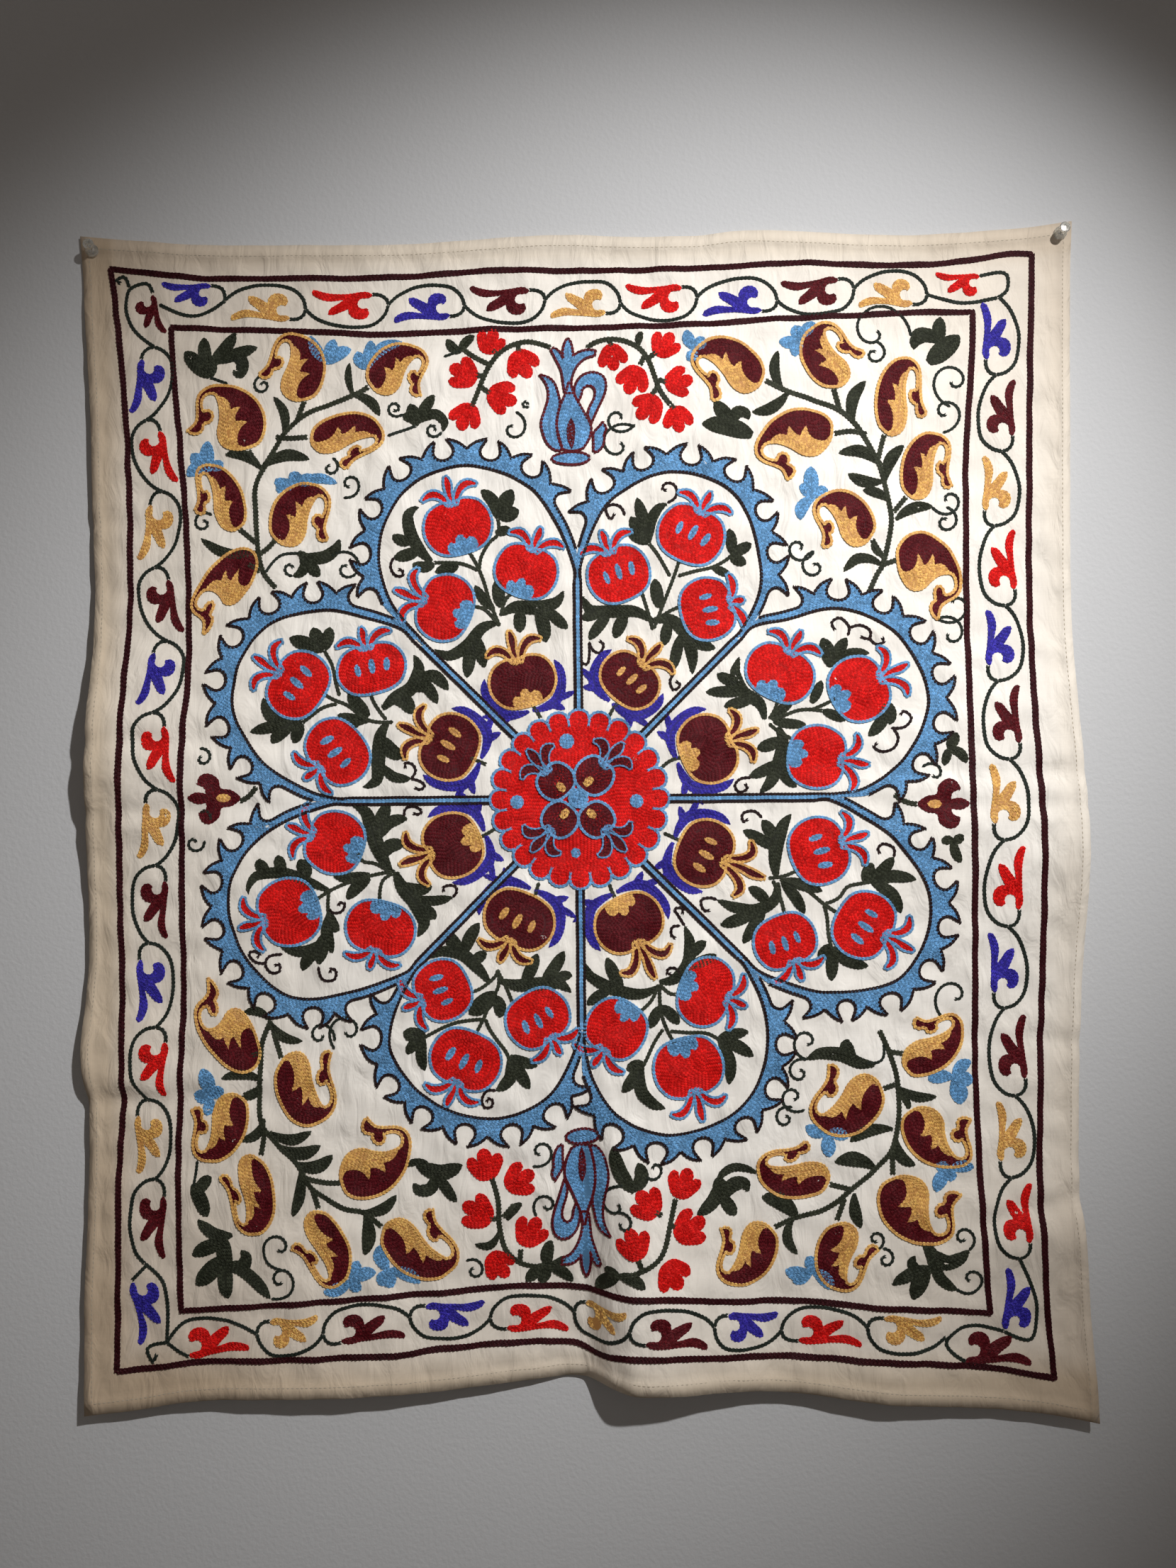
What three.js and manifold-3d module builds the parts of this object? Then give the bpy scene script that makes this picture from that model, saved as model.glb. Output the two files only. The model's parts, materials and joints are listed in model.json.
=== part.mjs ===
// A suzani: an embroidered cotton hanging, pinned to a wall by its two top corners.
// Millimetres, +Z up. The front faces -Y and the wall is the plane y = 0.
// The origin is midway between the two pins, on the wall.
import * as THREE from "three";
import { mergeVertices } from "three/addons/utils/BufferGeometryUtils.js";
import Module from "manifold-3d";

// The cloth: its nominal spread, its thickness and its hem.
const CLOTH_WIDTH = 894;
const CLOTH_HEIGHT = 1046;
const CLOTH_THICK = 1.6;
const HEM_SIDE = 8;
const HEM_ENDS = 11;
const HEM_RISE = 0.7;
const HEM_SLOPE = 1.5;
const CLEAR_OF_WALL = 0.6;

// The pins: where they go through the cloth, and the clear head and steel point of each.
const PIN_X = 438;
const PIN_LEAN = { left: 9, right: 0 };
const PIN_FLAT = 20;
const PIN_EASE = 70;
const HEAD_LENGTH = 13.5;
const FLANGE_R = 5.75;
const WAIST_R = 2.5;
const CAP_R = 4.7;
const NEEDLE_R = 0.55;
const NEEDLE_INTO_WALL = 8;
const NEEDLE_IN_HEAD = 7;
const GAP = 0.3;

// The four edges as they hang. Each row is [place along the edge, where the edge lies there].
const TOP_EDGE = [
  [-447, 14], [-400, 9], [-340, 3], [-240, 1], [-150, 0], [-70, 4], [-15, 6], [50, 3],
  [110, 3], [160, 7], [220, 4], [290, 0], [345, 1], [400, 5], [447, 11],
];
const BOTTOM_EDGE = [
  [-447, -1052], [-400, -1046], [-345, -1037], [-260, -1033], [-140, -1028], [-70, -1022],
  [-15, -1020], [40, -1021], [95, -1023], [170, -1028], [260, -1037], [340, -1043],
  [400, -1049], [447, -1058],
];
const LEFT_EDGE = [
  [14, -450], [-70, -444], [-165, -438], [-240, -437], [-330, -434], [-450, -436],
  [-540, -441], [-640, -442], [-720, -447], [-780, -442], [-880, -445], [-950, -448],
  [-1052, -446],
];
const RIGHT_EDGE = [
  [11, 449], [-95, 444], [-220, 442], [-340, 441], [-430, 443], [-510, 447], [-580, 448],
  [-680, 445], [-780, 442], [-850, 442], [-915, 448], [-990, 453], [-1058, 456],
];

// How far the cloth's front stands from the wall between the pins, and where it hangs free.
const STAND_OFF_TOP = 4;
const STAND_OFF = 7.5;
const STAND_OFF_DROP = 170;

// Soft bulges, one a row, leaning out from the wall by rise at their middle.
const BULGES = [
  { x: -456, z: -455, reachX: 125, reachZ: 82, rise: 22 },
  { x: -452, z: -735, reachX: 95, reachZ: 42, rise: 8 },
  { x: 452, z: -535, reachX: 135, reachZ: 92, rise: 20 },
  { x: 452, z: -425, reachX: 110, reachZ: 60, rise: 6 },
  { x: 455, z: -892, reachX: 130, reachZ: 38, rise: 8 },
  { x: -215, z: -1040, reachX: 115, reachZ: 200, rise: 10 },
  { x: 268, z: -1045, reachX: 62, reachZ: 170, rise: 9 },
  { x: -40, z: -330, reachX: 260, reachZ: 190, rise: 2.5 },
];

// Storage creases, one a row: a soft trough between two points, deepest at its first end.
const CREASES = [
  { x1: -447, z1: -448, x2: 120, z2: -452, depth: 2.6, reach: 9 },
  { x1: -447, z1: -513, x2: 60, z2: -506, depth: 2.6, reach: 9 },
  { x1: 450, z1: -484, x2: 60, z2: -478, depth: 2.6, reach: 9 },
  { x1: 450, z1: -513, x2: 110, z2: -508, depth: 2.2, reach: 8 },
  { x1: -447, z1: -772, x2: -180, z2: -766, depth: 4, reach: 10 },
  { x1: 455, z1: -858, x2: 250, z2: -905, depth: 4, reach: 10 },
  { x1: -447, z1: -250, x2: -120, z2: -246, depth: 2, reach: 9 },
  { x1: 448, z1: -722, x2: 190, z2: -716, depth: 2, reach: 9 },
];

// The gather under the middle: a groove that meets the wall at the hem, and a ridge beside it.
const GATHER_TOP = -730;
const GATHER_FOOT = -1030;
const GROOVE = { x: -20, reach: 34, depth: 5 };
const RIDGE = { x: 58, startX: 0, riseOver: 52, rise: 33, fallOver: 78 };

// The grid that carries the sheet. Each row is [from, to, cells], from the left or top edge.
const COLUMNS = [
  [0, HEM_SIDE, 1],
  [HEM_SIDE, HEM_SIDE + HEM_SLOPE, 1],
  [HEM_SIDE + HEM_SLOPE, 26, 1],
  [26, 400, 12],
  [400, 560, 10],
  [560, CLOTH_WIDTH - 26, 10],
  [CLOTH_WIDTH - 26, CLOTH_WIDTH - HEM_SIDE - HEM_SLOPE, 1],
  [CLOTH_WIDTH - HEM_SIDE - HEM_SLOPE, CLOTH_WIDTH - HEM_SIDE, 1],
  [CLOTH_WIDTH - HEM_SIDE, CLOTH_WIDTH, 1],
];
const ROWS = [
  [0, HEM_ENDS, 1],
  [HEM_ENDS, HEM_ENDS + HEM_SLOPE, 1],
  [HEM_ENDS + HEM_SLOPE, 28, 1],
  [28, 430, 14],
  [430, 540, 9],
  [540, 740, 6],
  [740, 800, 4],
  [800, CLOTH_HEIGHT - HEM_ENDS - HEM_SLOPE, 9],
  [CLOTH_HEIGHT - HEM_ENDS - HEM_SLOPE, CLOTH_HEIGHT - HEM_ENDS, 1],
  [CLOTH_HEIGHT - HEM_ENDS, CLOTH_HEIGHT, 1],
];

const clamp01 = (t) => Math.min(1, Math.max(0, t));
const mix = (a, b, t) => a + (b - a) * t;
const ease = (t) => clamp01(t) ** 2 * (3 - 2 * clamp01(t));
const bell = (t) => Math.exp(-t * t);

// A smooth line through a table's rows, which run in either direction.
function along(table, t) {
  const rows = table[0][0] < table[table.length - 1][0] ? table : [...table].reverse();
  const last = rows.length - 1;
  const slope = (i) => {
    const a = rows[Math.max(0, i - 1)];
    const b = rows[Math.min(last, i + 1)];
    return (b[1] - a[1]) / (b[0] - a[0]);
  };
  let i = 0;
  while (i < last - 1 && t > rows[i + 1][0]) i += 1;
  const span = rows[i + 1][0] - rows[i][0];
  const s = clamp01((t - rows[i][0]) / span);
  const bend = (1 - s) * slope(i) * span - s * slope(i + 1) * span;
  return mix(rows[i][1], rows[i + 1][1], ease(s)) + s * (1 - s) * bend;
}

// The place on the wall that a point of the cloth hangs in front of.
function placeOf(fromLeft, fromTop) {
  const levelX = fromLeft - CLOTH_WIDTH / 2;
  const levelZ = along(TOP_EDGE, 0) - fromTop;
  return {
    x: mix(along(LEFT_EDGE, levelZ), along(RIGHT_EDGE, levelZ), fromLeft / CLOTH_WIDTH),
    z: mix(along(TOP_EDGE, levelX), along(BOTTOM_EDGE, levelX), fromTop / CLOTH_HEIGHT),
  };
}

function creaseAt(crease, x, z) {
  const length = Math.hypot(crease.x2 - crease.x1, crease.z2 - crease.z1);
  const dirX = (crease.x2 - crease.x1) / length;
  const dirZ = (crease.z2 - crease.z1) / length;
  const run = (x - crease.x1) * dirX + (z - crease.z1) * dirZ;
  const off = (z - crease.z1) * dirX - (x - crease.x1) * dirZ;
  return crease.depth * bell(off / crease.reach) * ease(1 - run / length);
}

function gatherAt(x, z) {
  const drop = clamp01((GATHER_TOP - z) / (GATHER_TOP - GATHER_FOOT));
  const swell = ease(drop) * 0.5 + drop * 0.5;
  const groove = GROOVE.depth * bell((x - GROOVE.x) / GROOVE.reach);
  const crest = mix(RIDGE.startX, RIDGE.x, drop);
  const up = ease((x - crest + RIDGE.riseOver) / RIDGE.riseOver);
  const down = x > crest ? bell((x - crest) / mix(40, RIDGE.fallOver, drop)) : 1;
  return swell * (RIDGE.rise * up * down - groove);
}

// How far the cloth's front face stands from the wall.
function standOff(x, z) {
  let far = mix(STAND_OFF_TOP, STAND_OFF, ease(-z / STAND_OFF_DROP));
  for (const b of BULGES) {
    far += b.rise * bell(Math.hypot((x - b.x) / b.reachX, (z - b.z) / b.reachZ));
  }
  for (const crease of CREASES) far -= creaseAt(crease, x, z);
  far += gatherAt(x, z);
  const fromPin = Math.hypot(Math.abs(x) - PIN_X, z);
  const free = ease((fromPin - PIN_FLAT) / (PIN_EASE - PIN_FLAT));
  return mix(CLOTH_THICK, Math.max(far, CLOTH_THICK + CLEAR_OF_WALL), free);
}

// The extra thickness of the turned hem, full at the edge and gone past its stitching.
function hemRise(fromLeft, fromTop) {
  const side = Math.min(fromLeft, CLOTH_WIDTH - fromLeft) - HEM_SIDE;
  const end = Math.min(fromTop, CLOTH_HEIGHT - fromTop) - HEM_ENDS;
  return HEM_RISE * ease(1 - Math.min(side, end) / HEM_SLOPE);
}

const gridLines = (table) =>
  [0].concat(
    table.flatMap(([from, to, cells]) =>
      Array.from({ length: cells }, (_, i) => mix(from, to, (i + 1) / cells)),
    ),
  );

// A closed sheet: a front and a back grid on the same folds, joined round the rim.
function clothGeometry() {
  const columns = gridLines(COLUMNS);
  const rows = gridLines(ROWS);
  const wide = columns.length;
  const high = rows.length;
  const points = [];
  for (const side of ["front", "back"]) {
    for (const fromTop of rows) {
      for (const fromLeft of columns) {
        const { x, z } = placeOf(fromLeft, fromTop);
        const far = standOff(x, z);
        const front = far + hemRise(fromLeft, fromTop);
        points.push(x, side === "front" ? -front : CLOTH_THICK - far, z);
      }
    }
  }
  const at = (side, row, column) => (side * high + row) * wide + column;
  const faces = [];
  const quad = (a, b, c, d) => faces.push(a, b, c, a, c, d);
  for (let r = 0; r < high - 1; r += 1) {
    for (let c = 0; c < wide - 1; c += 1) {
      quad(at(0, r, c), at(0, r + 1, c), at(0, r + 1, c + 1), at(0, r, c + 1));
      quad(at(1, r, c), at(1, r, c + 1), at(1, r + 1, c + 1), at(1, r + 1, c));
    }
  }
  for (let c = 0; c < wide - 1; c += 1) {
    quad(at(0, 0, c), at(0, 0, c + 1), at(1, 0, c + 1), at(1, 0, c));
    quad(at(0, high - 1, c + 1), at(0, high - 1, c), at(1, high - 1, c), at(1, high - 1, c + 1));
  }
  for (let r = 0; r < high - 1; r += 1) {
    quad(at(0, r + 1, 0), at(0, r, 0), at(1, r, 0), at(1, r + 1, 0));
    quad(at(0, r, wide - 1), at(0, r + 1, wide - 1), at(1, r + 1, wide - 1), at(1, r, wide - 1));
  }
  return new THREE.BufferGeometry()
    .setAttribute("position", new THREE.Float32BufferAttribute(points, 3))
    .setIndex(faces);
}

// The clear head, turned round its own axis: a flange, a waist, and a cap, with a blind bore.
function headGeometry() {
  const boreR = NEEDLE_R + GAP;
  const profile = [
    [0, NEEDLE_IN_HEAD + GAP], [boreR, NEEDLE_IN_HEAD + GAP], [boreR, 0],
    [FLANGE_R - 0.4, 0], [FLANGE_R, 0.4], [FLANGE_R, 1.3], [FLANGE_R - 1.2, 2],
    [WAIST_R + 0.6, 3.2], [WAIST_R, 4.8], [WAIST_R + 0.1, 7.5], [WAIST_R + 0.7, 9.6],
    [CAP_R - 0.4, 10.6], [CAP_R, 11.2], [CAP_R, HEAD_LENGTH - 0.8],
    [CAP_R - 0.8, HEAD_LENGTH - 0.15], [0, HEAD_LENGTH],
  ];
  return new THREE.LatheGeometry(profile.map(([r, h]) => new THREE.Vector2(r, h)), 24);
}

// The steel point, on the head's axis: from inside the head to its tip in the wall.
function needleGeometry() {
  const tip = -(CLOTH_THICK + HEM_RISE + GAP + NEEDLE_INTO_WALL);
  const profile = [[0, tip], [NEEDLE_R, tip + 4], [NEEDLE_R, NEEDLE_IN_HEAD], [0, NEEDLE_IN_HEAD]];
  return new THREE.LatheGeometry(profile.map(([r, h]) => new THREE.Vector2(r, h)), 12);
}

const wasm = await Module();
wasm.setup();

function solidOf(geometry) {
  const bare = geometry.clone();
  bare.deleteAttribute("normal");
  bare.deleteAttribute("uv");
  const merged = mergeVertices(bare, 1e-4);
  return new wasm.Manifold(
    new wasm.Mesh({
      numProp: 3,
      vertProperties: merged.attributes.position.array,
      triVerts: new Uint32Array(merged.index.array),
    }),
  );
}

function geometryOf(solid) {
  const mesh = solid.getMesh();
  return new THREE.BufferGeometry()
    .setAttribute("position", new THREE.BufferAttribute(mesh.vertProperties, 3))
    .setIndex(new THREE.BufferAttribute(mesh.triVerts, 1));
}

// The cloth with the hole that each pin makes in it.
function piercedCloth() {
  let cloth = solidOf(clothGeometry());
  for (const side of ["left", "right"]) {
    const hole = new THREE.CylinderGeometry(NEEDLE_R + GAP, NEEDLE_R + GAP, 30, 12);
    hole.applyMatrix4(pinMatrix(side));
    cloth = cloth.subtract(solidOf(hole));
  }
  return geometryOf(cloth);
}

// A pin's own axis is +Y from the flange to the cap. It is turned to face the room, and may lean.
function pinMatrix(side) {
  const lean = THREE.MathUtils.degToRad(PIN_LEAN[side]);
  const towards = new THREE.Vector3(Math.sin(lean) * 0.9, -Math.cos(lean), Math.sin(lean) * 0.43);
  const turn = new THREE.Quaternion().setFromUnitVectors(
    new THREE.Vector3(0, 1, 0),
    towards.normalize(),
  );
  const lift = FLANGE_R * Math.sin(lean);
  const base = new THREE.Vector3(
    side === "left" ? -PIN_X : PIN_X,
    -(CLOTH_THICK + HEM_RISE + GAP + lift),
    0,
  );
  return new THREE.Matrix4().compose(base, turn, new THREE.Vector3(1, 1, 1));
}

const clothMaterial = new THREE.MeshStandardMaterial({ color: 0xe4dfd4, roughness: 0.95 });
const clearMaterial = new THREE.MeshStandardMaterial({
  color: 0xf0f3f2,
  roughness: 0.15,
  transparent: true,
  opacity: 0.45,
});
const steelMaterial = new THREE.MeshStandardMaterial({
  color: 0xb9bcc0,
  roughness: 0.3,
  metalness: 1,
});

function named(name, geometry, material) {
  const mesh = new THREE.Mesh(geometry, material);
  mesh.name = name;
  return mesh;
}

const hanging = new THREE.Group();
hanging.add(named("cloth", piercedCloth(), clothMaterial));
for (const side of ["left", "right"]) {
  const pin = new THREE.Group();
  pin.applyMatrix4(pinMatrix(side));
  pin.add(named(`pin_head_${side}`, headGeometry(), clearMaterial));
  pin.add(named(`pin_needle_${side}`, needleGeometry(), steelMaterial));
  hanging.add(pin);
}

export default hanging;
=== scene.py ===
import json
import math

import bpy
import numpy as np
from mathutils import Matrix, Vector
from mathutils.geometry import delaunay_2d_cdt

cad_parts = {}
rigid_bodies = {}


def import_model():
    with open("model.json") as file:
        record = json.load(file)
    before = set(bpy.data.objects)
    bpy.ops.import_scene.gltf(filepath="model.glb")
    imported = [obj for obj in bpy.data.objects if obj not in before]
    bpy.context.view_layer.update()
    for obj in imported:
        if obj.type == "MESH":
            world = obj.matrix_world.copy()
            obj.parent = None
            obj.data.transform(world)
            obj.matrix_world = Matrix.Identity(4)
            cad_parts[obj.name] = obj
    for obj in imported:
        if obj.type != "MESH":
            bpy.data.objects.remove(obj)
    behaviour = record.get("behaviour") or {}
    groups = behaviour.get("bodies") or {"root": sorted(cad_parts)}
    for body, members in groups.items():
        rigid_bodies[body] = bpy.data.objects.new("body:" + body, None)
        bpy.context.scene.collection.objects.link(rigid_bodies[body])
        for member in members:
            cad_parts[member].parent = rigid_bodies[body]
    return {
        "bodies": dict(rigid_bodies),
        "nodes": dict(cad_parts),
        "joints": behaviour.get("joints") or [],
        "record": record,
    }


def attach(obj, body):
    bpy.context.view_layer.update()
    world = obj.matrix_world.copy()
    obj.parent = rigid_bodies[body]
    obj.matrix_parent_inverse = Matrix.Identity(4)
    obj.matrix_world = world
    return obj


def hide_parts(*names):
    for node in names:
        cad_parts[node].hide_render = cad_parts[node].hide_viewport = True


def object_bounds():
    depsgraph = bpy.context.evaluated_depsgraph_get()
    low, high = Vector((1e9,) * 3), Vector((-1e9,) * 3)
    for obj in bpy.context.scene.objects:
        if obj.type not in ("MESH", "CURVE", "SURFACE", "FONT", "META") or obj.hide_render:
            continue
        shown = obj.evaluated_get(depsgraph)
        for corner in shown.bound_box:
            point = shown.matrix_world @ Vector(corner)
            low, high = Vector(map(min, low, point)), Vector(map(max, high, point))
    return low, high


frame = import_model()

CAD_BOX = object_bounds()

# A suzani: cotton cloth hung by its top corners, embroidered all over in chain stitch.
# Design sizes are millimetres in the part's frame, x to the right and z up, seen from the front.
MM = 0.001

# The cloth: its spread, edges, bulges and creases are those of its solid.
CLOTH_WIDTH = 894
CLOTH_HEIGHT = 1046
CLOTH_THICK = 1.6
HEM_SIDE = 8
HEM_ENDS = 11
HEM_RISE = 0.95
HEM_SLOPE = 1.5
CLEAR_OF_WALL = 0.6
PIN_X = 438
PIN_FLAT = 20
PIN_EASE = 70
STAND_OFF_TOP = 4
STAND_OFF = 7.5
STAND_OFF_DROP = 170
CELL = 5.2

# Each row is (place along the edge, where the edge lies there).
TOP_EDGE = (
    (-447, 14), (-400, 9), (-340, 3), (-240, 1), (-150, 0), (-70, 4), (-15, 6), (50, 3),
    (110, 3), (160, 7), (220, 4), (290, 0), (345, 1), (400, 5), (447, 11),
)
BOTTOM_EDGE = (
    (-447, -1052), (-400, -1046), (-345, -1037), (-260, -1033), (-140, -1028), (-70, -1022),
    (-15, -1020), (40, -1021), (95, -1023), (170, -1028), (260, -1037), (340, -1043),
    (400, -1049), (447, -1058),
)
LEFT_EDGE = (
    (14, -450), (-70, -444), (-165, -438), (-240, -437), (-330, -434), (-450, -436),
    (-540, -441), (-640, -442), (-720, -447), (-780, -442), (-880, -445), (-950, -448),
    (-1052, -446),
)
RIGHT_EDGE = (
    (11, 449), (-95, 444), (-220, 442), (-340, 441), (-430, 443), (-510, 447), (-580, 448),
    (-680, 445), (-780, 442), (-850, 442), (-915, 448), (-990, 453), (-1058, 456),
)

# Soft bulges: x, z, reach in x, reach in z, rise.
BULGES = (
    (-456, -455, 125, 82, 22),
    (-452, -735, 95, 42, 8),
    (452, -535, 135, 92, 20),
    (452, -425, 110, 60, 6),
    (455, -892, 130, 38, 8),
    (-215, -1040, 115, 200, 10),
    (268, -1045, 62, 170, 9),
    (-40, -330, 260, 190, 2.5),
)

# Storage creases: from x, z to x, z, depth at the first end, reach to either side.
CREASES = (
    (-447, -448, 120, -452, 2.6, 9),
    (-447, -513, 60, -506, 2.6, 9),
    (450, -484, 60, -478, 2.6, 9),
    (450, -513, 110, -508, 2.2, 8),
    (-447, -772, -180, -766, 4.0, 10),
    (455, -858, 250, -905, 4.0, 10),
    (-447, -250, -120, -246, 2.0, 9),
    (448, -722, 190, -716, 2.0, 9),
)

# The gather under the middle: a groove that meets the wall at the hem, and a ridge beside it
# that rises steeply from a sharp fold.
GATHER_TOP = -700
GATHER_FOOT = -1030
GROOVE_X, GROOVE_REACH, GROOVE_DEPTH = -12, 34, 5
FOLD_X = 3
FOLD_SHARP = 0.8
RIDGE_TOP_UP, RIDGE_UP, RIDGE_RISE, RIDGE_TOP_DOWN, RIDGE_DOWN = 24, 50, 33, 40, 84

# The lower hem turns a little out from the wall, except at the groove.
FLARE_TOP, FLARE_FOOT, FLARE = -975, -1045, 5
# The share of it that is lost on the gather's ridge.
FLARE_LOST = 0.8

# Small puckers that the stitching draws up: wavelength, direction in degrees, height, phase.
PUCKERS = (
    (61, 18, 0.55, 0.4),
    (47, 97, 0.50, 1.9),
    (38, 151, 0.46, 3.3),
    (29, 62, 0.40, 5.1),
    (23, 124, 0.30, 2.2),
    (17, 8, 0.20, 0.9),
)
# Past these places they ease off to the share that is left.
PUCKER_EDGE = 425
PUCKER_FOOT = -1010
PUCKER_TOP = -20
PUCKER_EASE = 15
PUCKER_LEFT = 0.4


def mix(a, b, t):
    return a + (b - a) * t


def ease(t):
    t = np.clip(t, 0, 1)
    return t * t * (3 - 2 * t)


def bell(t):
    return np.exp(-t * t)


def along(table, t):
    """A smooth line through a table's rows."""
    key, value = np.array(sorted(table), float).T
    slope = np.gradient(value, key)
    slope[1:-1] = (value[2:] - value[:-2]) / (key[2:] - key[:-2])
    i = np.clip(np.searchsorted(key, t) - 1, 0, len(key) - 2)
    span = key[i + 1] - key[i]
    s = np.clip((t - key[i]) / span, 0, 1)
    bend = (1 - s) * slope[i] * span - s * slope[i + 1] * span
    return mix(value[i], value[i + 1], ease(s)) + s * (1 - s) * bend


def place_of(from_left, from_top):
    """The place on the wall that a point of the cloth hangs in front of."""
    level_x = from_left - CLOTH_WIDTH / 2
    level_z = along(TOP_EDGE, 0.0) - from_top
    left, right = along(LEFT_EDGE, level_z), along(RIGHT_EDGE, level_z)
    top, bottom = along(TOP_EDGE, level_x), along(BOTTOM_EDGE, level_x)
    return mix(left, right, from_left / CLOTH_WIDTH), mix(top, bottom, from_top / CLOTH_HEIGHT)


def crease_at(crease, x, z):
    x1, z1, x2, z2, depth, reach = crease
    length = math.hypot(x2 - x1, z2 - z1)
    dir_x, dir_z = (x2 - x1) / length, (z2 - z1) / length
    run = (x - x1) * dir_x + (z - z1) * dir_z
    off = (z - z1) * dir_x - (x - x1) * dir_z
    return depth * bell(off / reach) * ease(1 - run / length)


def gather_at(x, z):
    drop = np.clip((GATHER_TOP - z) / (GATHER_TOP - GATHER_FOOT), 0, 1)
    swell = (ease(drop) + drop) / 2
    groove = GROOVE_DEPTH * bell((x - GROOVE_X) / GROOVE_REACH)
    climb = mix(RIDGE_TOP_UP, RIDGE_UP, drop)
    crest = FOLD_X + climb
    up = ease(np.clip((x - FOLD_X) / climb, 0, 1)**FOLD_SHARP)
    down = np.where(x > crest, bell((x - crest) / mix(RIDGE_TOP_DOWN, RIDGE_DOWN, drop)), 1)
    flare = FLARE * ease((FLARE_TOP - z) / (FLARE_TOP - FLARE_FOOT))
    flare = flare * (1 - bell((x - GROOVE_X) / GROOVE_REACH)) * (1 - FLARE_LOST * up * down)
    return swell * (RIDGE_RISE * up * down - groove) + flare


def pucker_at(x, z):
    height = 0
    for wave, direction, rise, phase in PUCKERS:
        turn = math.radians(direction)
        run = x * math.cos(turn) + z * math.sin(turn)
        cross = z * math.cos(turn) - x * math.sin(turn)
        height = height + rise * np.sin(math.tau * run / wave + phase + np.sin(cross / wave))
    edge = np.maximum(np.abs(x) - PUCKER_EDGE, np.maximum(PUCKER_FOOT - z, z - PUCKER_TOP))
    plain = ease(edge / PUCKER_EASE)
    return height * mix(1, PUCKER_LEFT, plain)


def stand_off(x, z):
    """How far the cloth's front face stands from the wall."""
    far = mix(STAND_OFF_TOP, STAND_OFF, ease(-z / STAND_OFF_DROP))
    for bx, bz, reach_x, reach_z, rise in BULGES:
        far = far + rise * bell(np.hypot((x - bx) / reach_x, (z - bz) / reach_z))
    for crease in CREASES:
        far = far - crease_at(crease, x, z)
    far = np.maximum(far + gather_at(x, z), CLOTH_THICK + CLEAR_OF_WALL) + pucker_at(x, z)
    free = ease((np.hypot(np.abs(x) - PIN_X, z) - PIN_FLAT) / (PIN_EASE - PIN_FLAT))
    return mix(CLOTH_THICK, np.maximum(far, CLOTH_THICK + CLEAR_OF_WALL / 2), free)


def slopes(x, z):
    step = 1.0
    by_x = (stand_off(x + step, z) - stand_off(x - step, z)) / (2 * step)
    by_z = (stand_off(x, z + step) - stand_off(x, z - step)) / (2 * step)
    return by_x, by_z


def lifted(x, z, height, at=None):
    """Points on the cloth's front, raised off it by height, in metres."""
    by_x, by_z = slopes(x, z) if at is None else at
    size = np.sqrt(1 + by_x**2 + by_z**2)
    normal = np.stack([by_x, -np.ones_like(by_x), by_z], -1) / size[..., None]
    base = np.stack([x, -stand_off(x, z), z], -1)
    return (base + normal * np.asarray(height)[..., None]) * MM


# Materials

# Each thread: colour, gloss.
THREADS = {
    "red": ((0.88, 0.008, 0.006), 0.12),
    "maroon": ((0.115, 0.004, 0.009), 0.14),
    "gold": ((1.0, 0.47, 0.125), 0.45),
    "blue": ((0.155, 0.385, 0.69), 0.24),
    "violet": ((0.045, 0.032, 0.42), 0.16),
    "leaf": ((0.036, 0.041, 0.025), 0.10),
    "vine": ((0.020, 0.028, 0.021), 0.10),
    "dark": ((0.020, 0.008, 0.008), 0.10),
    "edge": ((0.040, 0.003, 0.006), 0.10),
    "cream": ((0.48, 0.42, 0.33), 0.20),
}
# What a thread's colour is multiplied by in its darkest and lightest stitches.
SHADE_DARK = 0.52
SHADE_LIGHT = 1.32
SHADE_ADDED = 0.008


def new_material(name):
    material = bpy.data.materials.new(name)
    material.use_nodes = True
    nodes = material.node_tree.nodes
    return material, nodes, material.node_tree.links, nodes["Principled BSDF"]


def add(nodes, kind, **values):
    """A node with the inputs and properties given by name."""
    node = nodes.new(kind)
    for key, value in values.items():
        if hasattr(node, key):
            setattr(node, key, value)
        else:
            node.inputs[key.replace("_", " ")].default_value = value
    return node


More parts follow.
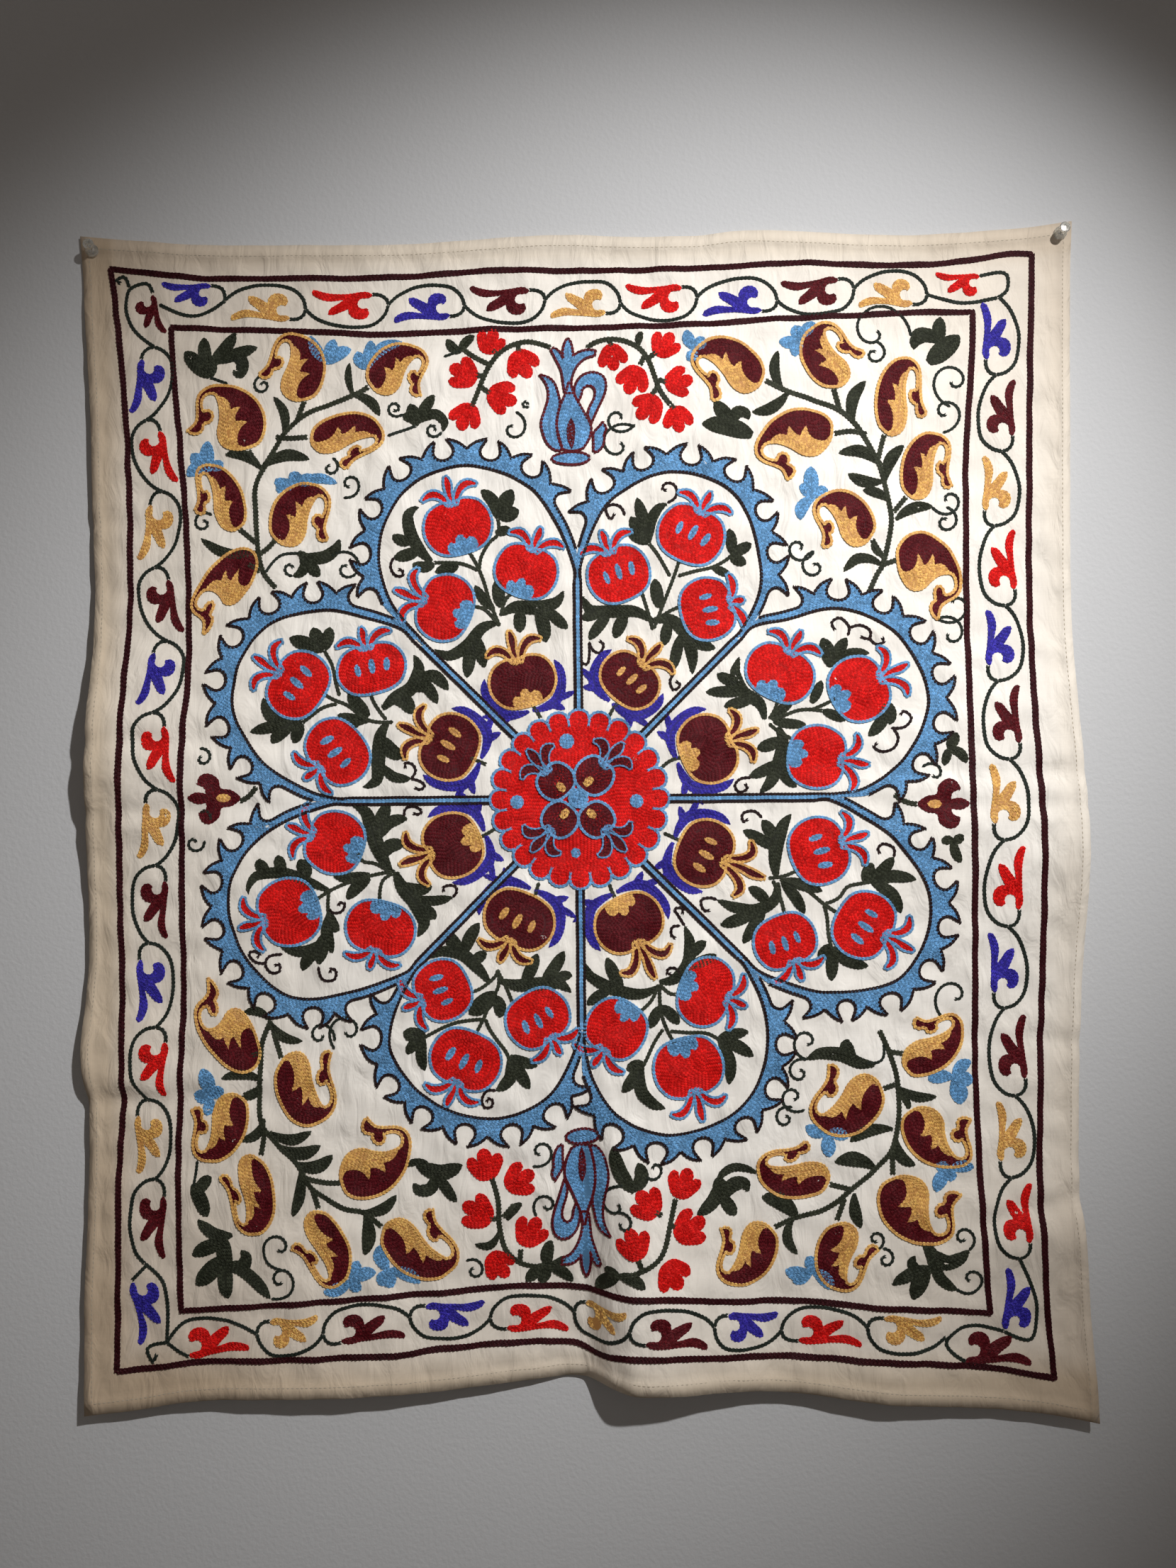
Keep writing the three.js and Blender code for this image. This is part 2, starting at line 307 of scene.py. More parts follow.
def thread_material(name, colour, gloss):
    """Mercerised cotton thread: each stitch has its own shade, and fine plies run along it."""
    material, nodes, links, shader = new_material("thread_" + name)
    shade = add(nodes, "ShaderNodeAttribute", attribute_name="shade")
    ramp = nodes.new("ShaderNodeValToRGB")
    ramp.color_ramp.elements[0].color = (*[c * SHADE_DARK for c in colour], 1)
    lightest = [min(1, c * SHADE_LIGHT + SHADE_ADDED) for c in colour]
    ramp.color_ramp.elements[1].color = (*lightest, 1)
    place = nodes.new("ShaderNodeTexCoord")
    cloud = add(nodes, "ShaderNodeTexNoise", Scale=38.0, Detail=2.0)
    links.new(place.outputs["Object"], cloud.inputs["Vector"])
    blend = add(nodes, "ShaderNodeMath", operation="MULTIPLY_ADD")
    blend.inputs[1].default_value = 0.5
    links.new(cloud.outputs["Fac"], blend.inputs[0])
    half = add(nodes, "ShaderNodeMath", operation="MULTIPLY_ADD")
    half.inputs[1].default_value = 0.7
    half.inputs[2].default_value = -0.1
    links.new(shade.outputs["Fac"], half.inputs[0])
    links.new(half.outputs[0], blend.inputs[2])
    links.new(blend.outputs[0], ramp.inputs["Fac"])
    links.new(ramp.outputs["Color"], shader.inputs["Base Color"])
    yarn = add(nodes, "ShaderNodeUVMap", uv_map="yarn")
    ply = add(nodes, "ShaderNodeTexWave", Scale=1.6, Distortion=0.6, Detail=1.0)
    ply.bands_direction = "DIAGONAL"
    links.new(yarn.outputs["UV"], ply.inputs["Vector"])
    bump = add(nodes, "ShaderNodeBump", Strength=0.5, Distance=0.0003)
    links.new(ply.outputs["Fac"], bump.inputs["Height"])
    links.new(bump.outputs["Normal"], shader.inputs["Normal"])
    shader.inputs["Roughness"].default_value = 0.5
    shader.inputs["Specular IOR Level"].default_value = gloss
    return material


# The cloth's blotches run from the one colour to the other.
BLOTCH_DARK = (0.78, 0.745, 0.69)
BLOTCH_LIGHT = (0.90, 0.875, 0.83)
BLOTCH_FROM, BLOTCH_TO = 0.30, 0.68
# The cloth is painted whitest in the middle and darker out to the corners, as a painted falloff of the
# light: what its colour is multiplied by at the corners and hem, and where on the way in from the
# corners the hem's painted shade and full white come.
PAINTED_SHADE_CORNER = (0.74, 0.65, 0.56)
PAINTED_SHADE_HEM = (0.91, 0.87, 0.82)
PAINTED_SHADE_HEM_AT, WHITE_AT = 0.28, 0.5
# The hem is tanner than the field, and painted shade darkens it further on the left and at the foot,
# away from the key light: across or up, where that starts, where it is full, how strong.
HEM_TAN_AND_SHADE = (
    ("X", -0.400, -0.425, 1.0),
    ("X", 0.403, 0.430, 0.35),
    ("Z", -0.990, -1.020, 1.0),
    ("Z", -0.032, -0.012, 0.6),
)
HEM_TONE = (0.79, 0.725, 0.63)


def cloth_material():
    """Undyed plain-weave cotton with slubs and faint blotches, painted shade that darkens it from the
    middle out to the corners, and a darker hem that is partly tan and partly painted shade.
    """
    material, nodes, links, shader = new_material("cloth")
    place = nodes.new("ShaderNodeTexCoord")
    blotch = add(nodes, "ShaderNodeTexNoise", Scale=7.0, Detail=6.0, Roughness=0.62)
    links.new(place.outputs["Object"], blotch.inputs["Vector"])
    ramp = nodes.new("ShaderNodeValToRGB")
    ramp.color_ramp.elements[0].position = BLOTCH_FROM
    ramp.color_ramp.elements[0].color = (*BLOTCH_DARK, 1)
    ramp.color_ramp.elements[1].position = BLOTCH_TO
    ramp.color_ramp.elements[1].color = (*BLOTCH_LIGHT, 1)
    links.new(blotch.outputs["Fac"], ramp.inputs["Fac"])
    centred = nodes.new("ShaderNodeMapping")
    centred.inputs["Location"].default_value = (-0.10, 0.0, 0.64)
    centred.inputs["Scale"].default_value = (1.55, 0.0, 1.35)
    links.new(place.outputs["Object"], centred.inputs["Vector"])
    spread = add(nodes, "ShaderNodeTexGradient", gradient_type="SPHERICAL")
    links.new(centred.outputs["Vector"], spread.inputs["Vector"])
    # Painted shade: the cloth's colour darkens from the middle out to the corners.
    painted_falloff = nodes.new("ShaderNodeValToRGB")
    painted_falloff.color_ramp.elements[0].color = (*PAINTED_SHADE_CORNER, 1)
    painted_falloff.color_ramp.elements[1].position = WHITE_AT
    painted_falloff.color_ramp.elements.new(PAINTED_SHADE_HEM_AT).color = (*PAINTED_SHADE_HEM, 1)
    links.new(spread.outputs["Fac"], painted_falloff.inputs["Fac"])
    cloth = add(nodes, "ShaderNodeMixRGB", blend_type="MULTIPLY", Fac=1.0)
    links.new(ramp.outputs["Color"], cloth.inputs["Color1"])
    links.new(painted_falloff.outputs["Color"], cloth.inputs["Color2"])
    apart = nodes.new("ShaderNodeSeparateXYZ")
    links.new(place.outputs["Object"], apart.inputs["Vector"])
    hem = None
    # The hem's tan, partly real tone and partly painted shade, strongest on the left and at the foot.
    for axis, start, full, strength in HEM_TAN_AND_SHADE:
        side = add(nodes, "ShaderNodeMapRange", From_Min=start, From_Max=full, To_Max=strength)
        links.new(apart.outputs[axis], side.inputs["Value"])
        if hem is None:
            hem = side
            continue
        most = add(nodes, "ShaderNodeMath", operation="MAXIMUM")
        links.new(hem.outputs[0], most.inputs[0])
        links.new(side.outputs[0], most.inputs[1])
        hem = most
    hemmed = add(nodes, "ShaderNodeMixRGB", blend_type="MULTIPLY")
    hemmed.inputs["Color2"].default_value = (*HEM_TONE, 1)
    links.new(hem.outputs[0], hemmed.inputs["Fac"])
    links.new(cloth.outputs["Color"], hemmed.inputs["Color1"])
    weave = []
    for axis, stretch in (("X", (1.0, 1.0, 0.04)), ("Z", (0.04, 1.0, 1.0))):
        slub = nodes.new("ShaderNodeMapping")
        slub.inputs["Scale"].default_value = stretch
        links.new(place.outputs["Object"], slub.inputs["Vector"])
        streak = add(nodes, "ShaderNodeTexNoise", Scale=900.0, Detail=2.0)
        links.new(slub.outputs["Vector"], streak.inputs["Vector"])
        thread = add(nodes, "ShaderNodeTexWave", Scale=560.0, Distortion=0.8, bands_direction=axis)
        links.new(place.outputs["Object"], thread.inputs["Vector"])
        both = add(nodes, "ShaderNodeMath", operation="ADD")
        links.new(streak.outputs["Fac"], both.inputs[0])
        links.new(thread.outputs["Fac"], both.inputs[1])
        weave.append(both)
    total = add(nodes, "ShaderNodeMath", operation="ADD")
    links.new(weave[0].outputs[0], total.inputs[0])
    links.new(weave[1].outputs[0], total.inputs[1])
    tint = add(nodes, "ShaderNodeMixRGB", blend_type="MULTIPLY", Fac=0.06)
    links.new(hemmed.outputs["Color"], tint.inputs["Color1"])
    links.new(total.outputs[0], tint.inputs["Color2"])
    links.new(tint.outputs["Color"], shader.inputs["Base Color"])
    long = nodes.new("ShaderNodeMapping")
    long.inputs["Scale"].default_value = (1.0, 1.0, 0.42)
    links.new(place.outputs["Object"], long.inputs["Vector"])
    pull = add(nodes, "ShaderNodeTexNoise", Scale=62.0, Detail=3.0, Distortion=0.8)
    links.new(long.outputs["Vector"], pull.inputs["Vector"])
    drawn = add(nodes, "ShaderNodeBump", Strength=0.8, Distance=0.0034)
    links.new(pull.outputs["Fac"], drawn.inputs["Height"])
    bump = add(nodes, "ShaderNodeBump", Strength=0.3, Distance=0.0002)
    links.new(total.outputs[0], bump.inputs["Height"])
    links.new(drawn.outputs["Normal"], bump.inputs["Normal"])
    links.new(bump.outputs["Normal"], shader.inputs["Normal"])
    shader.inputs["Roughness"].default_value = 0.92
    shader.inputs["Sheen Weight"].default_value = 0.15
    return material


MATERIALS = {name: thread_material(name, *row) for name, row in THREADS.items()}
MATERIALS["cloth"] = cloth_material()


# Meshes

def new_piece(name, points, faces, material, maps=(), shade=None):
    """An object from arrays of points in metres and faces with the same number of corners."""
    mesh = bpy.data.meshes.new(name)
    corners = faces.shape[1]
    mesh.vertices.add(len(points))
    mesh.vertices.foreach_set("co", np.ascontiguousarray(points, np.float32).ravel())
    mesh.loops.add(faces.size)
    mesh.loops.foreach_set("vertex_index", np.ascontiguousarray(faces, np.int32).ravel())
    mesh.polygons.add(len(faces))
    mesh.polygons.foreach_set("loop_start", np.arange(0, faces.size, corners, dtype=np.int32))
    mesh.polygons.foreach_set("use_smooth", np.ones(len(faces), bool))
    for label, uv in maps:
        layer = mesh.uv_layers.new(name=label, do_init=False)
        layer.uv.foreach_set("vector", np.ascontiguousarray(uv[faces.ravel()], np.float32).ravel())
    if shade is not None:
        layer = mesh.attributes.new("shade", "FLOAT", "POINT")
        layer.data.foreach_set("value", np.ascontiguousarray(shade, np.float32))
    mesh.update()
    mesh.validate()
    mesh.materials.append(material)
    piece = bpy.data.objects.new(name, mesh)
    bpy.context.scene.collection.objects.link(piece)
    return piece


# The area that the texture places of the design cover, and the size of a thread in them.
MAP_LEFT, MAP_WIDTH = -470, 940
MAP_FOOT, MAP_HEIGHT = -1075, 1100
YARN_SIZE = 3.0


def flat_map(x, z):
    """Texture places for points of the design, spread over the whole cloth."""
    return np.stack([(x - MAP_LEFT) / MAP_WIDTH, (z - MAP_FOOT) / MAP_HEIGHT], -1)


def layer_maps(x, z):
    """Texture places for a layer of thread that lies flat under the stitches."""
    return ("OFBake", flat_map(x, z)), ("yarn", np.stack([x / YARN_SIZE, z / YARN_SIZE], -1))


# Outlines

def curve(rows, closed=True, sharp=(), step=2.0):
    """A smooth line through rows of values, of which the first two are a place.

    The line turns a corner at the rows listed in sharp, and stops at the ends if not closed."""
    rows = np.asarray(rows, float)
    count = len(rows)
    chord = np.hypot(*(np.roll(rows, -1, 0) - rows)[:, :2].T)
    slope = (np.roll(rows, -1, 0) - np.roll(rows, 1, 0)) / (chord + np.roll(chord, 1))[:, None]
    corner = np.zeros(count, bool)
    corner[list(sharp)] = True
    if not closed:
        corner[0] = corner[-1] = True
    out = []
    for i in range(count if closed else count - 1):
        j = (i + 1) % count
        a, b = rows[i], rows[j]
        leave, arrive = slope[i] * chord[i], slope[j] * chord[i]
        if corner[i] and corner[j]:
            leave = arrive = b - a
        elif corner[i]:
            leave = 1.5 * (b - a) - 0.5 * arrive
        elif corner[j]:
            arrive = 1.5 * (b - a) - 0.5 * leave
        pieces = max(1, math.ceil(chord[i] / step))
        t = (np.arange(pieces) / pieces)[:, None]
        out.append(mix(a, b, ease(t)) + t * (1 - t) * ((1 - t) * leave - t * arrive))
    if not closed:
        out.append(rows[-1:])
    return np.concatenate(out)


def outline(points, closed=True, step=2.0):
    """A smooth line through points (x, z). A third value marks a corner."""
    corners = [i for i, p in enumerate(points) if len(p) > 2]
    return curve([p[:2] for p in points], closed, corners, step)


BRUSH_STEP = 2.2


def brush(rows):
    """The outline of a stroke through rows (x, z, half width)."""
    line = curve(rows, closed=False, step=BRUSH_STEP)
    toward = np.gradient(line[:, :2], axis=0)
    toward /= np.maximum(np.hypot(*toward.T), 1e-6)[:, None]
    across = np.stack([-toward[:, 1], toward[:, 0]], -1) * np.maximum(line[:, 2:], 0.3)
    return np.concatenate([line[:, :2] + across, (line[:, :2] - across)[::-1]])


def moved(shape, x, z, turn=0.0, size=1.0):
    """A shape resized, turned anticlockwise by turn degrees, and set at x, z."""
    a = math.radians(turn)
    p = np.asarray(shape, float) * size
    return np.stack(
        [x + p[:, 0] * math.cos(a) - p[:, 1] * math.sin(a),
         z + p[:, 0] * math.sin(a) + p[:, 1] * math.cos(a)], -1)


def ring(x, z, rx, rz, turn=0.0, points=28):
    t = np.linspace(0, math.tau, points, endpoint=False)
    return moved(np.stack([rx * np.cos(t), rz * np.sin(t)], -1), x, z, turn)


# Stitches

ROW_PITCH = 1.95
LINK = 3.3
FILL_BASE = 0.42
BACKING = 0.40
UNDER_BASE = 0.30
UNDER_LIFT = 0.9
UNDER_STEP = 0.015
# The layer under the stitches takes the thread's darkest tone, as painted shade in the gaps between
# the strands.
UNDER_PAINTED_SHADE = -0.4
LINE_TONE = 0.1
RIBBON_RISE = 0.22
FIRST_ROW = 0.42
FILL_GRID = 1.0
PATCH_GAP = 6.5
# The two strands of a link: their turn in radians, and shares of its width and length.
STRAND_TURN = 0.22
STRAND_APART = 0.25
STRAND_WIDE = 0.62
STRAND_LONG = 1.28
# How much strands differ in turn and length, in height and in tone.
UNEVEN, UNEVEN_HEIGHT, UNEVEN_TONE = 0.05, 0.08, 0.12
rng = np.random.default_rng(7)
grains = {}
patches = {}
ribbons = {}


def add_grains(piece, colour, centre, direction, length, width, height, base, tone):
    """Single thread strands, lying along direction, one a row."""
    grains.setdefault((piece, colour), []).append(
        np.column_stack([
            centre, direction,
            np.broadcast_to(length, len(centre)),
            np.broadcast_to(width, len(centre)),
            np.broadcast_to(height, len(centre)),
            np.broadcast_to(base, len(centre)),
            np.broadcast_to(tone, len(centre)),
        ]))


def spaced(path, gap, closed):
    """Points at even distances along a path, and the directions there."""
    p = np.concatenate([path, path[:1]]) if closed else path
    run = np.concatenate([[0], np.cumsum(np.hypot(*np.diff(p, axis=0).T))])
    count = max(1, round(run[-1] / gap))
    at = (np.arange(count) + 0.5) * run[-1] / count
    put = lambda t: np.stack([np.interp(t, run, p[:, 0]), np.interp(t, run, p[:, 1])], -1)
    reach = 0.45 * run[-1] / count
    toward = put(at + reach) - put(at - reach)
    toward /= np.maximum(np.hypot(*toward.T), 1e-9)[:, None]
    return put(at), toward, run[-1] / count


def turned(direction, angle):
    c, s = np.cos(angle), np.sin(angle)
    return np.stack([direction[:, 0] * c - direction[:, 1] * s,
                     direction[:, 0] * s + direction[:, 1] * c], -1)


def chain(piece, colour, path, closed=False, width=ROW_PITCH, link=LINK, base=FILL_BASE, high=0.9,
          backed=False):
    """A row of chain stitch: in each link two strands part from one point and meet the next.

    A row on its own is backed by a ribbon of the same thread, so that no cloth shows in it."""
    centre, toward, gap = spaced(np.asarray(path, float), link, closed)
    across = np.stack([-toward[:, 1], toward[:, 0]], -1)
    if backed:
        heights = np.full(len(centre), base + RIBBON_RISE * high)
        row = (centre, across * (width * BACKING), heights, closed)
        ribbons.setdefault((piece, colour), []).append(row)
    count = len(centre)
    tone = rng.random(count)
    for side in (-1, 1):
        angle = side * STRAND_TURN + rng.normal(0, UNEVEN, count)
        place = centre + across * (side * width * STRAND_APART)
        long = gap * STRAND_LONG * (1 + rng.normal(0, UNEVEN, count))
        add_grains(piece, colour, place, turned(toward, angle), long, width * STRAND_WIDE,
                   high * (1 + rng.normal(0, UNEVEN_HEIGHT, count)), base,
                   np.clip(tone + rng.normal(0, UNEVEN_TONE, count), 0, 1))


def distance_inside(loops, xs, zs):
    """The distance to the loops' edges over a grid, positive inside them."""
    gx, gz = np.meshgrid(xs, zs)
    best = np.full(gx.shape, 1e9)
    inside = np.zeros(gx.shape, bool)
    for loop in loops:
        for (ax, az), (bx, bz) in zip(loop, np.roll(loop, -1, 0)):
            dx, dz = bx - ax, bz - az
            size = dx * dx + dz * dz
            if size < 1e-9:
                continue
            px, pz = gx - ax, gz - az
            t = np.clip((px * dx + pz * dz) / size, 0, 1)
            best = np.minimum(best, (px - t * dx) ** 2 + (pz - t * dz) ** 2)
            if az != bz:
                crosses = (az > gz) != (bz > gz)
                inside ^= crosses & (px < (gz - az) * dx / dz)
    return np.where(inside, 1, -1) * np.sqrt(best)


def contours(field, xs, zs, level):
    """Closed lines where the field equals level, by marching squares."""
    f = field - level
    up = f > 0
    rows, columns = f.shape
    flat = up[:, :-1] != up[:, 1:]
    tall = up[:-1] != up[1:]
    ids_flat = np.arange(rows * columns).reshape(rows, columns)
    ids_tall = ids_flat + rows * columns
    point = {}
    r, c = np.nonzero(flat)
    t = f[r, c] / (f[r, c] - f[r, c + 1])
    x = xs[c] + t * (xs[1] - xs[0])
    point.update(zip(ids_flat[r, c].tolist(), zip(x.tolist(), zs[r].tolist())))
    r, c = np.nonzero(tall)
    t = f[r, c] / (f[r, c] - f[r + 1, c])
    z = zs[r] + t * (zs[1] - zs[0])
    point.update(zip(ids_tall[r, c].tolist(), zip(xs[c].tolist(), z.tolist())))
    links = {}
    low, high = flat[:-1], flat[1:]
    left, right = tall[:, :-1], tall[:, 1:]
    r, c = np.nonzero(low | high | left | right)
    for i, j in zip(r.tolist(), c.tolist()):
        crossed = []
        if low[i, j]:
            crossed.append(int(ids_flat[i, j]))
        if right[i, j]:
            crossed.append(int(ids_tall[i, j + 1]))
        if high[i, j]:
            crossed.append(int(ids_flat[i + 1, j]))
        if left[i, j]:
            crossed.append(int(ids_tall[i, j]))
        if len(crossed) == 4 and up[i, j] == (f[i:i + 2, j:j + 2].mean() > 0):
            crossed = crossed[1:] + crossed[:1]
        for a, b in zip(crossed[::2], crossed[1::2]):
            links.setdefault(a, []).append(b)
            links.setdefault(b, []).append(a)
    lines = []
    while links:
        here, last = next(iter(links)), None
        line = [point[here]]
        while True:
            options = links.get(here, [])
            onward = next((k for k in options if k != last), None)
            links.pop(here, None)
            if onward is None or onward not in links:
                break
            line.append(point[onward])
            last, here = here, onward
        lines.append(np.array(line))
    return lines


def fill(piece, colour, shape, holes=(), joined=(), lift=0.0):
    """Rows of chain stitch that follow an outline inwards, over a layer of the same thread.

    Shapes joined to it are stitched as one with it, and holes are left bare."""
    shapes = [shape, *joined]
    every = np.concatenate(shapes)
    low, high = every.min(0) - 2 * FILL_GRID, every.max(0) + 2 * FILL_GRID
    xs = np.arange(low[0], high[0] + FILL_GRID, FILL_GRID)
    zs = np.arange(low[1], high[1] + FILL_GRID, FILL_GRID)
    field = np.max([distance_inside([s], xs, zs) for s in shapes], 0)
    for hole in holes:
        field = np.minimum(field, -distance_inside([hole], xs, zs))
    level = ROW_PITCH * FIRST_ROW
    while level < field.max():
        for line in contours(field, xs, zs, level):
            if len(line) > 3:
                chain(piece, colour, line, closed=True, base=FILL_BASE + lift)
        level += ROW_PITCH
    for place, one in enumerate(shapes):
        loops = [one, *holes] if place == 0 else [one]
        height = UNDER_BASE + lift * UNDER_LIFT + place * UNDER_STEP
        patches.setdefault((piece, colour), []).append((loops, height))


def grain_mesh(rows):
    """All strands of one colour as one mesh: five points and four faces each."""
    x, z, tx, tz, length, width, height, base, tone = rows.T
    count = len(rows)
    along_it = np.array([-0.5, 0.5, 0.02, 0.02, 0.02])
    across_it = np.array([0.0, 0.0, 0.5, -0.5, 0.0])
    px = (x[:, None] + tx[:, None] * along_it * length[:, None]
          - tz[:, None] * across_it * width[:, None])
    pz = (z[:, None] + tz[:, None] * along_it * length[:, None]
          + tx[:, None] * across_it * width[:, None])
    rise = base[:, None] + height[:, None] * np.array([0.0, 0.0, 0.0, 0.0, 1.0])
    points = lifted(px, pz, rise).reshape(-1, 3)
    corners = np.array([(0, 3, 4), (3, 1, 4), (1, 2, 4), (2, 0, 4)])
    faces = (np.arange(count)[:, None, None] * 5 + corners).reshape(-1, 3)
    yarn = np.stack([np.tile([0.0, 1.0, 0.5, 0.5, 0.5], count) + np.repeat(rng.random(count), 5),
                     np.tile([0.5, 0.5, 1.0, 0.0, 0.5], count)], -1)
    shade = np.repeat(tone, 5)
    return points, faces, (("OFBake", flat_map(px.ravel(), pz.ravel())), ("yarn", yarn)), shade


def patch_mesh(shapes):
    """Flat layers of thread under the stitches, cut finely enough to follow the folds."""
    points, faces, first = [], [], 0
    heights = []
    for loops, height in shapes:
        low, high = loops[0].min(0), loops[0].max(0)
        xs = np.arange(low[0] + PATCH_GAP / 2, high[0], PATCH_GAP)
        zs = np.arange(low[1] + PATCH_GAP / 2, high[1], PATCH_GAP)
        inner = np.zeros((0, 2))
        if len(xs) and len(zs):
            field = distance_inside(loops, xs, zs)
            gx, gz = np.meshgrid(xs, zs)
            free = field > PATCH_GAP * 0.4
            inner = np.stack([gx[free], gz[free]], -1)
        edges, coords = [], []
        for loop in loops:
            start = len(coords)
            coords.extend(loop.tolist())
            edges.extend((start + i, start + (i + 1) % len(loop)) for i in range(len(loop)))
        coords.extend(inner.tolist())
        made = delaunay_2d_cdt(coords, edges, [], 0, 1e-4)
        places = np.array([tuple(v) for v in made[0]])
        triangles = np.array([f for f in made[2] if len(f) == 3])
        triangles = triangles[inside_of(loops, places[triangles].mean(1))]
        points.append(places)
        faces.append(triangles + first)
        heights.append(np.full(len(places), height))
        first += len(places)
    places, faces = np.concatenate(points), np.concatenate(faces)
    a, b, c = (places[faces[:, k]] for k in range(3))
    turn = (b[:, 0] - a[:, 0]) * (c[:, 1] - a[:, 1]) - (b[:, 1] - a[:, 1]) * (c[:, 0] - a[:, 0])
    faces[turn < 0] = faces[turn < 0][:, ::-1]
    faces = faces[np.abs(turn) > 1e-6]
    x, z = places.T
    return lifted(x, z, np.concatenate(heights)), faces, layer_maps(x, z)


def ribbon_mesh(rows):
    """Ribbons along the middle of rows of stitches."""
    points, faces, first = [], [], 0
    for centre, half, height, closed in rows:
        count = len(centre)
        if count < 2:
            continue
        sides = np.stack([centre + half, centre - half], 1).reshape(-1, 2)
        x, z = sides.T
        points.append(np.column_stack([x, z, np.repeat(height, 2)]))
        here = np.arange(count if closed else count - 1)
        ahead = (here + 1) % count
        a, b, c, d = 2 * here, 2 * here + 1, 2 * ahead + 1, 2 * ahead
        faces.append(np.concatenate([np.stack([a, b, c], -1), np.stack([a, c, d], -1)]) + first)
        first += 2 * count
    x, z, height = np.concatenate(points).T
    return lifted(x, z, height), np.concatenate(faces), layer_maps(x, z)


def inside_of(loops, at):
    """Whether each point lies inside the first loop and outside the others."""
    x, z = at.T
    inside = np.zeros(len(at), bool)
    for loop in loops:
        for (ax, az), (bx, bz) in zip(loop, np.roll(loop, -1, 0)):
            if az != bz:
                inside ^= ((az > z) != (bz > z)) & (x - ax < (z - az) * (bx - ax) / (bz - az))
    return inside


SPIRAL_POINTS = 26
SPIRAL_EASE = 0.8
SPIRAL_END = 1.6


def spiral(x, z, centre_x, centre_z, turns):
    """A tendril that starts at x, z and winds in on its centre. Turns are anticlockwise."""
    start = math.atan2(z - centre_z, x - centre_x)
    t = np.linspace(0, 1, SPIRAL_POINTS)
    reach = mix(math.hypot(x - centre_x, z - centre_z), SPIRAL_END, t**SPIRAL_EASE)
    angle = start + math.tau * turns * t
    return np.stack([centre_x + reach * np.cos(angle), centre_z + reach * np.sin(angle)], -1)


# A leaf from its root: shares of its way, of its bow and of its half width, then its tip.
LEAF_SHAPE = ((0, 0, 0.25), (0.28, 0.8, 0.8), (0.6, 1.0, 1.0), (0.88, 0.4, 0.6))
LEAF_TIP = 0.3


def leaf(x1, z1, x2, z2, wide, bend=0.0):
    """A stroke from its root to its tip, bowed to the left of its way by bend of its length."""
    dx, dz = x2 - x1, z2 - z1
    rows = [(x1 + dx * t - dz * bend * bow, z1 + dz * t + dx * bend * bow, wide * share)
            for t, bow, share in LEAF_SHAPE]
    return brush([*rows, (x2, z2, LEAF_TIP)])


# Lines

MIDDLE_Z = -500


def zone(z):
    """The piece that a height in the field belongs to."""
    return "field_" + ("upper" if z > MIDDLE_Z else "lower")


def vine(piece, *paths, colour="vine", width=3.3):
    for path in paths:
        chain(piece, colour, path, width=width, link=3.4, base=0.42, high=1.15, backed=True)


def stem(piece, *paths, colour="leaf", width=3.4):
    for path in paths:
        chain(piece, colour, path, width=width, link=3.3, base=0.42, high=1.1, backed=True)


def edging(piece, colour, path, closed=True, width=2.7, lift=0.0):
    chain(piece, colour, path, closed=closed, width=width, link=3.3, base=0.8 + lift, high=1.15,
          backed=True)


def leaves(piece, colour, *shapes):
    """Strokes that may overlap, filled as one."""
    fill(piece, colour, shapes[0], joined=shapes[1:])


# The border: a vine that swings from side to side, with a flower in each bend.

# Where each bend starts, going anticlockwise: x, z, side (1 is inward), flower. A bend with no
# side is at a corner and has its lines in CORNER_VINES.
BORDER = {
    "left": (
        (-380, -90, 1, "violet"), (-387, -157, -1, "red"), (-373, -222, 1, "gold"),
        (-380, -291, -1, "maroon"), (-368, -358, 1, "violet"), (-378, -423, -1, "red"),
        (-375, -492, 1, "gold"), (-380, -560, -1, "maroon"), (-388, -630, 1, "violet"),
        (-380, -705, -1, "red"), (-390, -771, 1, "gold"), (-383, -842, -1, "maroon"),
        (-393, -918, 0, "violet"), (-373, -988),
    ),
    "bottom": (
        (-373, -988, 0, "red"), (-290, -978, -1, "gold"), (-230, -977, 1, "maroon"),
        (-153, -963, -1, "violet"), (-82, -967, 1, "red"), (-7, -963, -1, "gold"),
        (42, -968, 1, "maroon"), (117, -970, -1, "violet"), (177, -977, 1, "red"),
        (252, -972, -1, "gold"), (322, -982, 0, "maroon"), (373, -978),
    ),
    "right": (
        (373, -978, 0, "violet"), (387, -913, 1, "red"), (382, -843, -1, "gold"),
        (387, -771, 1, "maroon"), (378, -693, -1, "violet"), (380, -620, 1, "red"),
        (375, -543, -1, "gold"), (382, -472, 1, "maroon"), (375, -402, -1, "violet"),
        (383, -335, 1, "red"), (375, -263, -1, "gold"), (382, -197, 1, "maroon"),
        (378, -128, -1, "violet"), (383, -58),
    ),
    "top": (
        (383, -58, 0, "red"), (318, -54, -1, "gold"), (253, -47, 1, "maroon"),
        (184, -57, -1, "violet"), (112, -53, 1, "red"), (43, -57, -1, "gold"),
        (-25, -53, 1, "maroon"), (-98, -57, -1, "violet"), (-167, -55, 1, "red"),
        (-242, -58, -1, "gold"), (-315, -48, 0, "violet"), (-375, -52),
    ),
}

